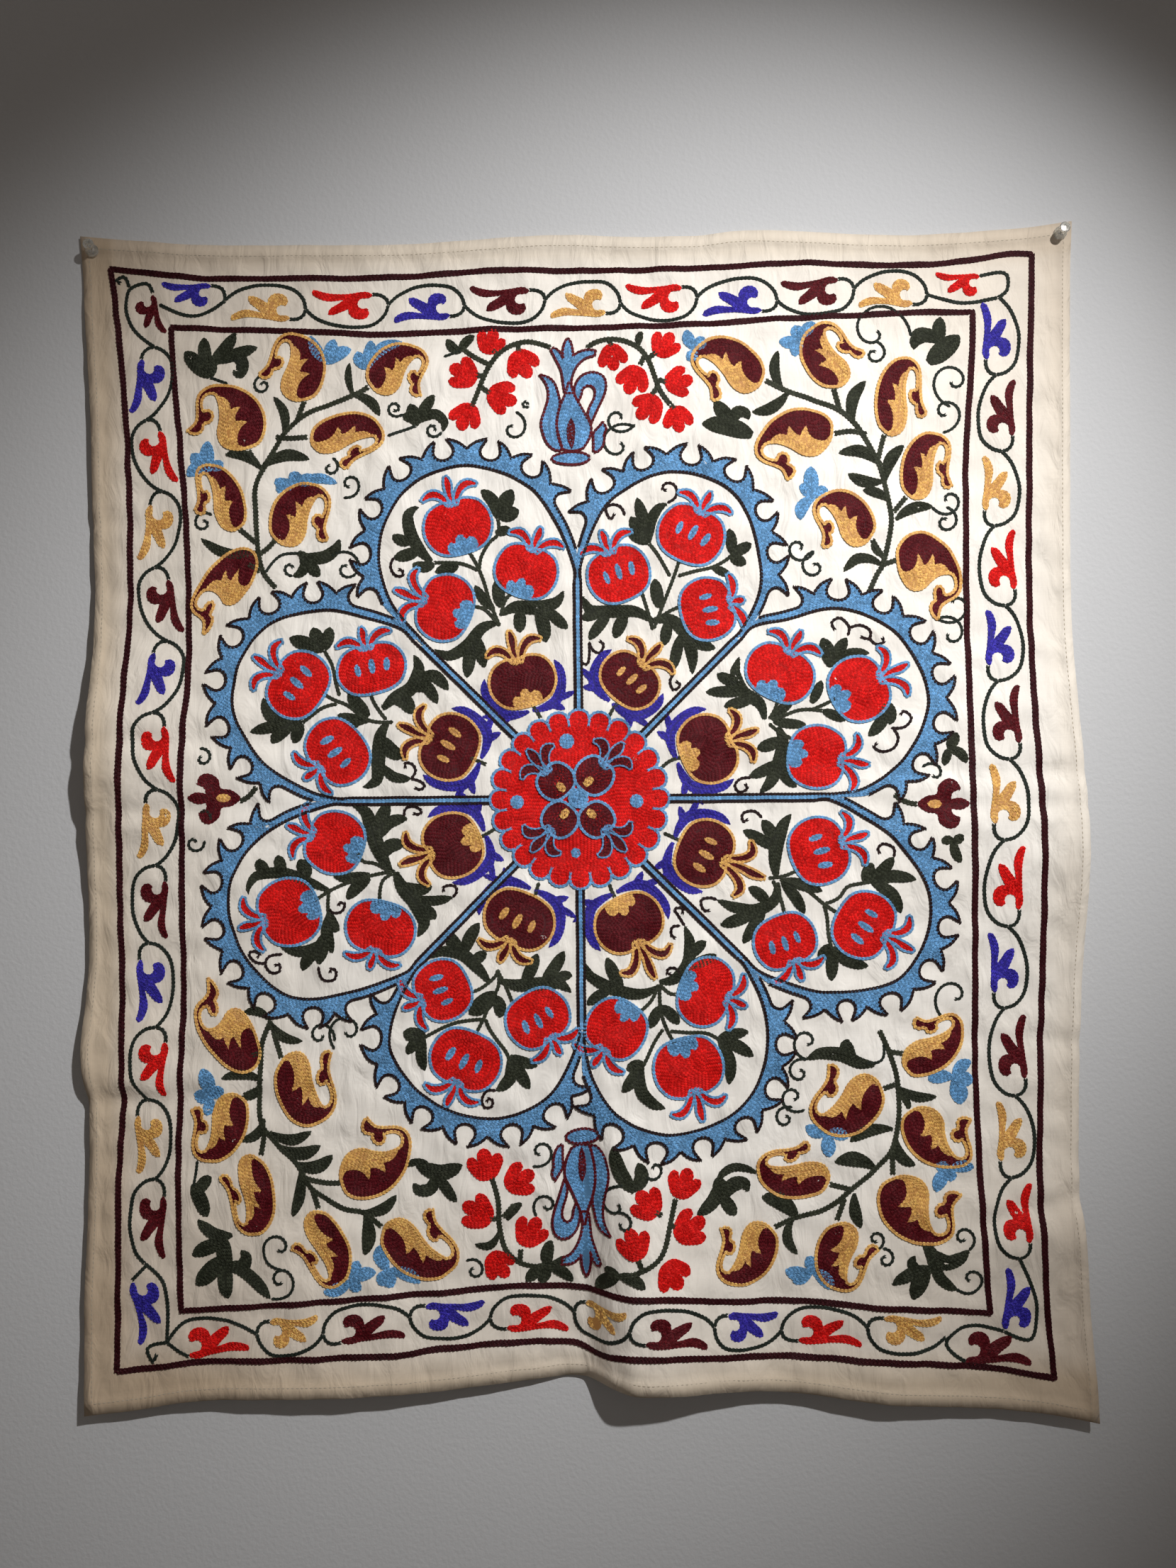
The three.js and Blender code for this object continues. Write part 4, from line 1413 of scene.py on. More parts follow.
# A fruit's body in shares of its half width and half height, crown up.
FRUIT = (
    (0, 0.90), (0.34, 0.99), (0.74, 0.80), (0.98, 0.30), (0.98, -0.28), (0.74, -0.78),
    (0.34, -0.99), (-0.34, -0.99), (-0.74, -0.78), (-0.98, -0.28), (-0.98, 0.30), (-0.74, 0.80),
    (-0.34, 0.99),
)
CALYX = (
    (-0.44, -0.88, 1), (-0.44, -0.62), (-0.32, -0.50), (-0.19, -0.60, 1), (-0.13, -0.36),
    (0.02, -0.30), (0.13, -0.54, 1), (0.27, -0.46), (0.42, -0.60), (0.44, -0.88, 1),
    (0.2, -0.97), (-0.2, -0.97),
)
# Seeds, in the same shares: across, up, half width, half height.
SEEDS = ((-0.40, 0.06, 0.09, 0.26), (0.03, 0.10, 0.10, 0.32), (0.46, 0.04, 0.10, 0.28))
SEED_LEAN = -6
SEED_FAN = 14
SEED_POINTS = 14
CROWN_ROOT = 0.92
# The three sepals of a crown of length 1: across, up and half width in mm, from the root.
SEPALS = (
    ((0, -0.15, 1.2), (-0.6, 0.35, 1.8), (0.4, 0.72, 2.6), (0, 1.04, 0.5)),
    ((-2.5, -0.10, 1.2), (-9, 0.34, 2.2), (-17, 0.50, 2.6), (-26, 0.34, 0.5)),
    ((2.5, -0.10, 1.2), (9, 0.36, 2.2), (17, 0.56, 2.6), (26, 0.46, 0.5)),
)

# The collar under a petal's maroon fruit, one side, in the fruit's shares: across, up, half mm.
COLLAR = (
    ((-0.06, -1.22, 1.4), (-0.42, -1.22, 3.4), (-0.80, -1.08, 4.6), (-1.06, -0.62, 4.4),
     (-1.16, 0.05, 3.8), (-1.08, 0.50, 0.4)),
    ((-0.62, -1.18, 2.0), (-0.86, -1.36, 3.0), (-1.0, -1.52, 0.4)),
    ((-0.86, -1.0, 3.0), (-1.22, -0.98, 2.6), (-1.45, -0.92, 0.4)),
)

TOOTH_PITCH = 35.5
TEETH = 7
# Half a tooth of the petal's edge: along it, out from it.
TOOTH = (
    (0, 15, 1), (-2.4, 18), (-7, 22.5), (-13.5, 26, 1), (-11.4, 21), (-9.6, 15.5), (-11, 10.5),
    (-15, 7.6),
)
BAND = 7.2
BAND_EASE = 55
BAND_END = 5.0
BAND_STEP = 6
BAND_GAP = 3
ROPE_OFFSET = 2.9
RIM_CLEAR = 1.0
RAY = 3.9
RAY_PAST = 2


class Frame:
    """A place and a turn, for shapes drawn in a frame of their own. Turns are clockwise."""

    def __init__(self, x, z, turn):
        self.x, self.z, self.turn = x, z, turn

    def __call__(self, shape, size=1.0):
        return moved(shape, self.x, self.z, -self.turn, size)

    def inner(self, s, r, turn):
        """A frame at a place in this one, turned by a further angle."""
        x, z = self([(s, r)])[0]
        return Frame(x, z, self.turn + turn)


def from_shares(rows, step):
    """A smooth outline through points given in shares. A third value marks a corner."""
    return outline([(x * DRAWN, z * DRAWN, *corner) for x, z, *corner in rows], step=step) / DRAWN


def fruit(piece, frame, wide, high, body, trim, crown, seeds=False, calyx=False,
          sepal=1.0, lift=0.0, full=1.0, rim=2.3):
    """A pomegranate: body, crown of three sepals, and seeds or a calyx in the trim's colour."""
    shape = from_shares(FRUIT, 3) * (wide, high)
    holes = []
    if seeds:
        for across, up, half_x, half_z in SEEDS:
            turn = SEED_LEAN - SEED_FAN * across
            holes.append(ring(across * wide, up * high, half_x * wide, half_z * high,
                              turn, SEED_POINTS))
    if calyx:
        holes.append(from_shares(CALYX, 4) * (wide, high))
    fill(piece, body, frame(shape), holes=[frame(hole) for hole in holes], lift=lift)
    for hole in holes:
        fill(piece, trim, frame(hole), lift=lift + 0.1)
    edging(piece, trim, frame(shape), lift=lift)
    root, length = high * CROWN_ROOT, crown - high
    size = full * min(1.0, sepal)
    for rows in SEPALS:
        petal = brush([(s * sepal, root + r * length, w * size) for s, r, w in rows])
        edge = brush([(s * sepal, root + r * length, w * size + rim / 2) for s, r, w in rows])
        fill(piece, body, frame(petal), lift=lift)
        edging(piece, trim, frame(edge), width=rim, lift=lift)


def rope_side(reach, side):
    """A place on a petal's side of the rope beside it, at a reach from the rosette's centre."""
    return (side * (reach * math.sin(FOOT) - ROPE_OFFSET * math.cos(FOOT)),
            reach * math.cos(FOOT) + ROPE_OFFSET * math.sin(FOOT))


def off_rope(line):
    """How far inside its own eighth of the medallion each point of a line lies."""
    return line[:, 1] * math.sin(FOOT) - abs(line[:, 0]) * math.cos(FOOT)


def arch_line(points):
    """A petal's arch, whose feet run on into the ropes on either side."""
    near, far = math.hypot(*points[0]), math.hypot(*points[-1])
    return outline((rope_side(near - PARTING, -1), rope_side(near, -1), *points[1:-1],
                    rope_side(far, 1), rope_side(far - PARTING, 1)), closed=False, step=3)


def make_band(piece, frame, arch, teeth_at):
    """A band of light blue outside the arch, with forked teeth, and a dark line along its rim."""
    run = np.concatenate([[0], np.cumsum(np.hypot(*np.diff(arch, axis=0).T))])
    total = run[-1]
    room = off_rope(arch)
    plain = lambda at: min(
        np.interp(at, run, room), mix(BAND_END, BAND, ease(min(at, total - at) / BAND_EASE)))
    steps = [(0.0, plain(0.0))]
    for place in teeth_at:
        gap = steps[-1][0]
        first = place + TOOTH[-1][0]
        for at in np.arange(gap + BAND_STEP, first - BAND_GAP, BAND_STEP):
            steps.append((at, plain(at)))
        steps.extend((place + a, o, *c) for a, o, *c in TOOTH[::-1])
        steps.extend((place - a, o, *c) for a, o, *c in TOOTH[1:])
    for at in np.arange(steps[-1][0] + BAND_STEP, total - BAND_GAP, BAND_STEP):
        steps.append((at, plain(at)))
    steps.append((total, plain(total)))
    toward = np.gradient(arch, axis=0)
    toward /= np.hypot(*toward.T)[:, None]
    points = []
    for at, beyond, *corner in steps:
        place = np.array([np.interp(at, run, arch[:, k]) for k in (0, 1)])
        way = np.array([np.interp(at, run, toward[:, k]) for k in (0, 1)])
        points.append((*(place + np.array([-way[1], way[0]]) * beyond), *corner))
    rim = outline(points, closed=False, step=2.0)
    fill(piece, "blue", frame(np.concatenate([arch, rim[::-1]])))
    free = np.flatnonzero(off_rope(rim) > RIM_CLEAR)
    rope_line(piece, frame(rim[free[0]:free[-1] + 1]))


def rope_line(piece, path):
    chain(piece, "dark", path, width=2.8, link=3.2, base=0.8, high=1.2, backed=True)


def make_petals():
    for index, row in enumerate(PETALS):
        piece = f"petal_{index + 1}"
        frame = Frame(*CENTRE, row["axis"])
        arch = arch_line(row["arch"])
        length = np.hypot(*np.diff(arch, axis=0).T).sum()
        places = length / 2 + TOOTH_PITCH * (np.arange(TEETH) - (TEETH - 1) / 2)
        make_band(piece, frame, arch, places)
        inner_line = np.concatenate([
            [rope_side(ROSETTE_RADIUS + 1, -1)], arch, [rope_side(ROSETTE_RADIUS + 1, 1)]])
        rope_line(piece, frame(inner_line))
        make_petal_contents(piece, index, row["seeds"])


def blade(wide, *path):
    """One blade of a leaf, along a path from its root to its point."""
    line = curve(path, False)
    run = np.concatenate([[0], np.cumsum(np.hypot(*np.diff(line, axis=0).T))])
    rows = []
    for share, width in BLADE:
        x, z = (np.interp(share * run[-1], run, line[:, k]) for k in (0, 1))
        rows.append((x, z, wide * width * BLADE_FULL))
    return brush(rows)


def make_petal_contents(piece, index, seeds):
    for number, (x, z, lean, wide, high, crown) in enumerate(PETAL_FRUITS[index]):
        here = Frame(x, z, lean)
        body, trim = ("red", "blue") if number else ("maroon", "gold")
        if not number:
            for mirror in (1, -1):
                leaves(piece, "violet", *(
                    here(brush([(a * wide * mirror, b * high, w) for a, b, w in rows]))
                    for rows in COLLAR))
        fruit(piece, here, wide, high, body, trim, crown, seeds, not seeds)
    for spray in PETAL_LEAVES[index]:
        leaves(piece, "leaf", *(blade(*row) for row in spray))
    for path in PETAL_STEMS[index]:
        stem(piece, curve(path, False))
    for path in PETAL_TENDRILS[index]:
        stem(piece, curve(path, False), colour="dark", width=TENDRIL_WIDTH)


# A scallop of the rosette: across it in shares of half its width, and out from the radius.
SCALLOP = ((-1.0, -6.5), (-0.78, -1.8), (-0.4, 0.6), (0, 1.4), (0.4, 0.6), (0.78, -1.8))
# The rosette's round spots: s, r, radius.
SPOTS = ((-11, 52, 6.5), (-56, -2, 6), (51, -2, 6), (-4, -48, 4.2))
# Its fruits: s, r, half width, half height, lean.
ROSETTE_FRUITS = (
    (-21, 16, 17, 15, -42), (13, 21, 17, 16, 42),
    (-18, -18, 16, 15, -138), (15, -18, 15.5, 15, 138),
)
ROSETTE_CROWN = 24


def make_rosette():
    piece = "rosette"
    frame = Frame(*CENTRE, 0)
    points = []
    for k in range(SCALLOPS):
        middle = math.tau * k / SCALLOPS
        half = math.pi / SCALLOPS
        for row, (shift, rise) in enumerate(SCALLOP):
            angle = middle + shift * half
            reach = ROSETTE_RADIUS + rise
            corner = () if row else (1,)
            points.append((reach * math.sin(angle), reach * math.cos(angle), *corner))
    rim = outline(points)
    fill(piece, "red", frame(rim))
    edging(piece, "blue", frame(rim))
    for k in range(SCALLOPS):
        angle = math.tau * (k - 0.5) / SCALLOPS
        notch = np.array([math.sin(angle), math.cos(angle)])
        far = ROSETTE_RADIUS + SCALLOP[0][1]
        edging(piece, "blue", frame(np.linspace(far * notch, (far - NOTCH) * notch, 6)), False, 2.2)
    for s, r, radius in SPOTS:
        fill(piece, "blue", frame(ring(s, r, radius, radius)), lift=0.75)
    boss = frame(ring(*BOSS, BOSS_RADIUS, BOSS_RADIUS))
    fill(piece, "blue", boss, lift=1.2)
    edging(piece, "blue", boss, lift=1.2)
    for s, r, wide, high, lean in ROSETTE_FRUITS:
        here = frame.inner(s, r, lean)
        fruit("rosette_fruit", here, wide, high, "maroon", "blue", high + ROSETTE_CROWN,
              sepal=0.80, lift=0.7, full=1.75, rim=1.5)
        fill("rosette_fruit", "gold", here(ring(0, -0.45 * high, 3.4, 5)), lift=1.3)


def make_rays():
    """The ropes between the petals, from the rosette to where the arches part."""
    for k in range(len(PETALS)):
        last, following = PETALS[k - 1], PETALS[k]
        reach = (math.hypot(*last["arch"][-1]) + math.hypot(*following["arch"][0])) / 2 - PARTING
        angle = math.radians(following["axis"] - HALF_PETAL)
        out = np.array([math.sin(angle), math.cos(angle)])
        near, far = CENTRE + ROSETTE_RADIUS * out, CENTRE + (reach + RAY_PAST) * out
        chain("rays", "blue", np.linspace(near, far, 12), width=RAY, link=3.4, base=0.5, high=1.3,
              backed=True)


# The ewers, above and below the medallion.

EWER_SPOUT = (
    (-31, -121, 1), (-22.5, -124), (-17, -130), (-14, -139), (-12.3, -149), (-14.4, -157.5),
    (-15.6, -167.5), (-14.4, -177.5), (-10.6, -190, 1), (-17, -190), (-24, -184), (-28, -175),
    (-29.4, -166), (-26, -154), (-23, -142.5), (-24, -132),
)
EWER_BODY = (
    (-3.5, -128), (-7.5, -140), (-12, -150), (-14.4, -158), (-15.6, -168), (-13.5, -179),
    (-10, -190, 1), (0, -191.5), (8, -189.5, 1), (13.8, -180), (15.6, -169), (11, -160),
    (5, -149), (0, -139),
)
EWER_NECK = (
    (-8, -139, 1), (-9.5, -128), (-11, -119), (-16, -108), (-20, -100, 1), (-17.5, -97, 1),
    (-12.5, -101), (-9.2, -108, 1), (-9.3, -99), (-7.5, -92), (-5, -88.5, 1), (-2.3, -92),
    (-0.5, -99), (0, -105.5, 1), (5, -101.5), (12, -99.7), (20, -100, 1), (19.5, -105, 1),
    (11, -107.5), (4.5, -113.5), (0, -121), (-2, -130), (0, -139, 1),
)
EWER_HANDLE = (
    (4, -147, 1), (0.5, -138), (3, -128), (10, -121.5), (19, -119.7), (27, -124), (29.3, -132.5),
    (27.5, -141), (22.5, -152), (16, -166, 1), (13, -160), (14, -153), (18.8, -142.5),
    (18.6, -135.5), (13.8, -132), (8.5, -135), (7, -141),
)
EWER_BRACKET = (
    (17.5, -193, 1), (17.5, -184), (17.5, -175), (21, -171), (26, -165.6, 1), (29, -170.5),
    (27, -176.5, 1), (27, -184), (23, -191),
)
EWER_PARTS = (EWER_SPOUT, EWER_BODY, EWER_NECK, EWER_HANDLE, EWER_BRACKET)
EWER_DROP = ((-2.5, -161, 1), (1.0, -170), (0.3, -182), (-2, -190, 1), (-5.5, -182), (-6, -170))
EWER_FOOT = (-3, -198, 17, 5.6)
# Three places on the ewer, and where they come on the one below.
EWER_KEYS = ((-3, -198), (-31, -121), (-5, -88.5))
EWER_BELOW = ((1.4, -805), (26, -891), (4, -931))


def make_ewers():
    for piece, places in (("ewer_upper", EWER_KEYS), ("ewer_lower", EWER_BELOW)):
        place = lambda shape: fitted(shape, EWER_KEYS, places)
        foot = ring(*EWER_FOOT)
        for shape in (*(outline(part) for part in EWER_PARTS), foot):
            fill(piece, "blue", place(shape))
            edging(piece, "maroon", place(shape), width=2.5)
        fill(piece, "maroon", place(outline(EWER_DROP)), lift=0.7)


# The field

# A red blossom of three lobes, its stalk at 0, -12.
BLOSSOM = (
    (0, -12), (7, -10), (12, -4), (15.5, 3), (13.5, 9), (8, 8.5), (5, 2.5, 1), (6.5, 9),
    (3.5, 14.5), (-1.5, 15.5), (-5.5, 11), (-5, 3, 1), (-8.5, 9.5), (-13.5, 9.5), (-15.5, 3),
    (-12, -4.5), (-7, -10.5),
)

# Blossoms beside the ewers: x, z, the way they face in degrees clockwise from up, size.
BLOSSOMS = (
    (-75, -92, 20, 0.86), (-47, -110, 150, 1.0), (-98, -120, -60, 0.98), (-66, -141, 110, 1.0),
    (-97, -157, 200, 0.95),
    (35, -105, 170, 0.88), (82, -97, 30, 0.9), (54, -126, 200, 0.98), (93, -130, 80, 0.92),
    (68, -152, 225, 0.98), (93, -162, 170, 0.9),
    (-85, -832, -10, 1.05), (-56, -845, 60, 1.02), (-91, -873, -60, 1.08), (-46, -892, 30, 1.02),
    (-75, -918, 140, 0.95),
    (91, -847, 20, 0.98), (60, -862, -40, 1.0), (95, -885, 60, 1.08), (47, -896, -20, 1.0),
    (80, -921, 150, 1.0),
)

# Stems of the sprays and of the paisleys, as rows of x, z.
STEMS = (
    ((-20, -97), (-43, -91), (-63, -98), (-75, -112), (-82, -125), (-88, -140), (-92, -150)),
    ((-50, -92), (-49, -100)), ((-68, -102), (-73, -98)), ((-80, -122), (-88, -121)),
    ((-84, -131), (-75, -138)), ((-75, -112), (-90, -104), (-100, -96)),
    ((12, -98), (22, -92), (37, -90), (57, -97), (67, -108), (73, -125), (78, -138), (87, -150)),
    ((32, -90), (35, -97)), ((67, -108), (75, -102)), ((64, -106), (60, -114)),
    ((76, -128), (84, -130)), ((76, -134), (70, -142)), ((87, -150), (91, -154)),
    ((-80, -842), (-74, -862), (-73, -885), (-67, -906), (-52, -919), (-30, -923), (-14, -922)),
    ((-70, -877), (-60, -866)), ((-55, -917), (-54, -905)), ((-73, -878), (-82, -878)),
    ((84, -858), (79, -880), (71, -905), (54, -917), (34, -922), (20, -922)),
    ((79, -880), (84, -882)), ((72, -872), (66, -868)), ((54, -917), (50, -907)),
    ((-270, -311), (-281, -297), (-286, -275), (-288, -242), (-287, -215), (-278, -198),
     (-262, -172), (-243, -155),
     (-220, -145), (-197, -137), (-185, -130)),
    ((-250, -160), (-243, -142)), ((-286, -200), (-294, -186)), ((-270, -174), (-255, -176),
     (-240, -175)),
    ((-288, -270), (-303, -257)), ((-287, -282), (-278, -276), (-270, -268)), ((-284, -296),
     (-295, -289)),
    ((262, -322), (270, -305), (275, -297), (283, -258), (279, -232), (273, -208), (263, -188),
     (253, -172), (238, -158), (213, -147), (192, -140), (172, -130)),
    ((238, -158), (233, -138)), ((272, -202), (278, -180)), ((262, -180), (248, -177), (233, -179)),
    ((285, -250), (297, -236)), ((277, -293), (272, -284), (266, -274)), ((275, -297), (287, -293)),
    ((-277, -700), (-285, -720), (-287, -740), (-287, -790), (-273, -810), (-253, -830),
     (-240, -850),
     (-213, -867), (-193, -872), (-178, -884)),
    ((-275, -710), (-268, -734)), ((-286, -728), (-295, -732)), ((-286, -760), (-303, -768)),
    ((-283, -798), (-287, -821)), ((-247, -840), (-230, -844), (-215, -845)), ((-240, -850),
     (-235, -868)),
    ((267, -712), (275, -730), (282, -753), (283, -790), (277, -817), (260, -837), (240, -853),
     (217, -870), (190, -878), (172, -886)),
    ((275, -731), (288, -733)), ((281, -760), (270, -764)), ((283, -765), (293, -781)),
    ((277, -818), (277, -840)), ((240, -853), (230, -850), (221, -848)), ((234, -860), (227, -880)),
    ((-288, -490), (-296, -499), (-304, -503)), ((282, -502), (292, -509), (302, -511)),
)

# Single leaves: root x, z, tip x, z, half width, bow.
LEAVES = (
    (59, -97, 62, -84, 3.4, 0.1),
    (-262, -174, -271, -138, 4.2, -0.14), (-198, -138, -202, -108, 3.2, 0.1),
    (-200, -137, -175, -157, 4.6, 0.16), (-283, -203, -315, -190, 4.8, -0.16),
    (-283, -202, -239, -195, 5.2, 0.16), (-286, -278, -338, -265, 4.6, 0.14),
    (188, -140, 184, -103, 4.6, 0.14), (192, -141, 160, -158, 5.4, 0.14),
    (250, -170, 262, -132, 5.6, 0.16), (275, -208, 237, -196, 5.4, -0.16),
    (278, -222, 295, -190, 5.6, 0.12), (276, -222, 245, -215, 5.2, 0.12),
    (281, -240, 258, -230, 4.4, -0.10), (287, -257, 320, -246, 5.0, 0.14),
    (275, -298, 240, -303, 4.6, -0.28), (275, -290, 266, -276, 2.6, 0.1),
    (-285, -754, -322, -752, 4.6, -0.12), (-284, -788, -305, -807, 4.4, 0.2),
    (-286, -762, -306, -770, 3.4, 0.1), (-279, -800, -241, -799, 5.0, -0.18),
    (-272, -812, -233, -812, 6.0, -0.18), (-255, -828, -222, -820, 5.8, -0.20),
    (-250, -832, -258, -875, 5.0, 0.06), (-196, -871, -165, -856, 4.8, -0.16),
    (-193, -872, -193, -908, 6.0, 0.10), (-277, -700, -303, -694, 4.0, -0.18),
    (-279, -700, -249, -719, 4.4, -0.16),
    (282, -762, 317, -771, 4.4, -0.12), (282, -765, 293, -782, 3.0, 0.1),
    (278, -800, 240, -811, 5.4, -0.12), (280, -806, 297, -831, 5.2, -0.2),
    (262, -835, 226, -829, 6.4, -0.16), (243, -856, 248, -886, 5.2, -0.08),
    (192, -879, 161, -860, 7.4, -0.16), (189, -878, 192, -910, 4.4, -0.22),
    (-66, -880, -53, -865, 4.2, 0.1), (-74, -890, -95, -900, 3.8, 0.3),
)

# Lobed leaves of the field, as blades like those of the petals.
FIELD_SPRAYS = (
    ((6.5, (-329, -119), (-330, -110), (-331.5, -98)), (6.5, (-329, -118), (-341, -107),
      (-352, -95)),
     (5, (-331, -108), (-334, -95), (-335, -82)), (5.5, (-329, -108), (-314, -91), (-306.5, -78)),
     (5, (-327, -104), (-305, -98), (-286, -92)),
     (5, (-316, -97), (-303, -100), (-299.5, -110), (-304, -117), (-308, -112))),
    ((5.5, (-142, -166), (-144, -157), (-148, -146)), (4, (-143, -160), (-149, -158), (-154, -155)),
     (5, (-141, -163), (-133, -149), (-126, -138)),
     (4, (-141, -163), (-127, -156), (-117, -161), (-118, -172))),
    ((4, (-101, -99), (-108, -96), (-114, -87)), (4, (-101, -99), (-98, -91), (-89, -85))),
    ((4.5, (-250, -279), (-243, -286), (-246, -296), (-255, -300)),
     (5, (-244, -284), (-238, -292), (-230, -301)),
     (5, (-248, -281), (-234, -285), (-222, -282), (-215, -276), (-212, -268))),
    ((5.5, (327, -100), (328, -88), (330, -74)), (8, (318, -116), (331, -105), (346, -92)),
     (6, (331, -98), (320, -91), (309, -93), (305, -104)), (4, (326, -93), (314, -88), (303, -91))),
    ((6, (146, -170), (136, -161), (127, -147)), (7.5, (160, -179), (138, -171), (115, -168)),
     (5, (140, -170), (145, -160), (152, -157), (157, -165))),
    ((6.5, (-321, -893), (-320, -910), (-318, -928)), (4.5, (-313, -892), (-331, -890),
      (-344, -878)),
     (6, (-321, -899), (-336, -903), (-349, -911)), (7, (-320, -912), (-334, -925), (-346, -937)),
     (6, (-320, -915), (-319, -932), (-317, -948)),
     (5.5, (-320, -916), (-307, -921), (-300, -914), (-305, -905)),
     (5, (-319, -918), (-301, -925), (-288, -936), (-278, -947))),
    ((5, (-343, -855), (-340, -847), (-332, -840)), (6, (-348, -846), (-343, -858), (-336, -876))),
    ((6.5, (-146, -829), (-126, -837), (-106, -830)), (4.5, (-132, -836), (-122, -849),
      (-111, -863)),
     (5, (-131, -836), (-132, -849), (-142, -853), (-150, -846)),
     (3, (-157, -830), (-147, -827), (-136, -828))),
    ((6, (305, -905), (326, -917), (343, -906)), (4.5, (311, -922), (298, -924), (292, -918),
      (295, -910)),
     (5.5, (311, -922), (290, -927), (275, -936)), (6.5, (306, -920), (299, -934), (293, -949)),
     (4.5, (312, -910), (317, -930), (333, -942)), (5, (303, -901), (310, -909), (311, -924))),
    ((5.5, (124, -845), (118, -862), (103, -873)), (6.5, (122, -842), (125, -853), (128, -866)),
     (5.5, (125, -862), (134, -850), (144, -846), (149, -855)), (5, (126, -858), (131, -866),
      (138, -875)),
     (3.4, (156, -838), (141, -833), (128, -837), (122, -848))),
    ((5.5, (262, -742), (246, -740), (224, -731), (202, -738)), (6, (244, -739), (238, -730),
      (239, -720))),
    ((4.5, (330, -462), (334, -455), (338, -448)), (3.5, (330, -462), (328, -470), (326, -477)),
     (3.8, (330, -462), (340, -466), (345, -475))),
    ((3.6, (332, -544), (327, -543), (322, -545)), (3.8, (332, -544), (337, -542), (340, -538)),
     (3.8, (332, -544), (334, -554), (339, -563))),
    ((5, (-30, -922), (-31, -911), (-27, -899)), (5, (-30, -922), (-40, -926), (-50, -935)),
     (5.5, (-30, -922), (-34, -930), (-33, -937)), (4.6, (-30, -922), (-19, -926), (-8, -936)),
     (3, (-30, -922), (-22, -919), (-14, -913))),
    ((5, (33, -922), (23, -928), (12, -938)), (4.6, (33, -922), (45, -924), (56, -932)),
     (3, (33, -922), (26, -919), (20, -919))),
    ((6, (48, -850), (35, -834), (29, -811)), (5.5, (46, -848), (54, -840), (51, -826))),
)

# Light blue sprays: root x, z, then for each leaf its tip x, z, half width and bow.
BLUE_SPRAYS = (
    ((-220, -108), ((-238, -82, 4.2, 0.1), (-216, -86, 4.6, 0.05), (-201, -95, 4.4, 0.1),
                    (-219, -100, 3.4, 0.0))),
    ((-186, -114), ((-195, -97, 4.4, 0.1), (-184, -87, 4.8, -0.05), (-154, -90, 4.2, 0.18))),
    ((-328, -203), ((-331, -177, 5.0, 0.1), (-346, -188, 5.2, 0.05), (-350, -209, 4.5, -0.2),
                    (-318, -196, 4.0, 0.0))),
    ((-252, -216), ((-270, -212, 4.6, 0.2), (-268, -225, 3.8, -0.2), (-250, -206, 5.0, 0.05),
                    (-233, -212, 4.6, 0.0), (-214, -217, 3.6, 0.1))),
    ((206, -92), ((185, -94, 4.4, 0.1), (199, -108, 4.2, -0.1), (199, -80, 4.8, 0.05),
                  (217, -78, 4.2, 0.1))),
    ((110, -100), ((102, -83, 4.2, 0.1), (118, -90, 4.4, 0.0), (102, -110, 4.0, 0.1))),
    ((215, -236), ((201, -226, 4.6, -0.1), (212, -208, 5.2, 0.05), (227, -229, 4.4, 0.1),
                   (202, -256, 4.4, -0.2))),
    ((-332, -770), ((-340, -743, 5.4, -0.05), (-348, -766, 5.0, 0.05), (-320, -762, 4.6, 0.1),
                    (-336, -785, 4.2, 0.0))),
    ((-205, -930), ((-199, -913, 4.4, 0.0), (-183, -924, 4.4, 0.1), (-196, -938, 4.4, -0.1),
                    (-230, -941, 4.2, 0.1))),
    ((-172, -922), ((-180, -900, 5.0, 0.1), (-180, -935, 5.0, 0.0), (-168, -937, 4.8, -0.1),
                    (-144, -934, 4.6, 0.1))),
    ((332, -754), ((348, -740, 4.4, 0.1), (350, -757, 5.0, 0.0), (338, -778, 6.0, 0.05),
                   (310, -757, 4.6, -0.1))),
    ((220, -803), ((201, -797, 4.4, 0.1), (221, -824, 5.0, 0.0), (238, -808, 4.2, 0.1))),
    ((328, -836), ((316, -832, 4.2, 0.0), (315, -855, 4.8, -0.1), (329, -846, 4.2, 0.0),
                   (349, -834, 4.2, 0.1))),
    ((205, -925), ((181, -924, 4.8, 0.1), (200, -912, 4.4, -0.1), (188, -935, 4.4, 0.0),
                   (222, -941, 4.8, 0.1))),
)

# Tendrils: start x, z, centre x, z, turns.
TENDRILS = (
    (-338, -455, -335, -464, -1.0), (-330, -520, -337, -515, 0.5), (-335, -538, -345, -540, -1.0),
    (322, -346, 338, -333, 0.8), (322, -346, 334, -360, -0.9), (-43, -832, -36, -819, 1.1),
    (-40, -877, -31, -867, -1.1), (58, -838, 66, -832, 0.9), (38, -845, 31, -862, 0.9),
    (32, -868, 37, -878, -0.9), (-40, -150, -43, -148, -1.0), (-52, -155, -55, -170, -1.0),
    (55, -168, 40, -162, -1.0), (55, -170, 40, -186, 1.0), (322, -700, 334, -682, -0.9),
    (307, -478, 317, -484, -0.8),
)
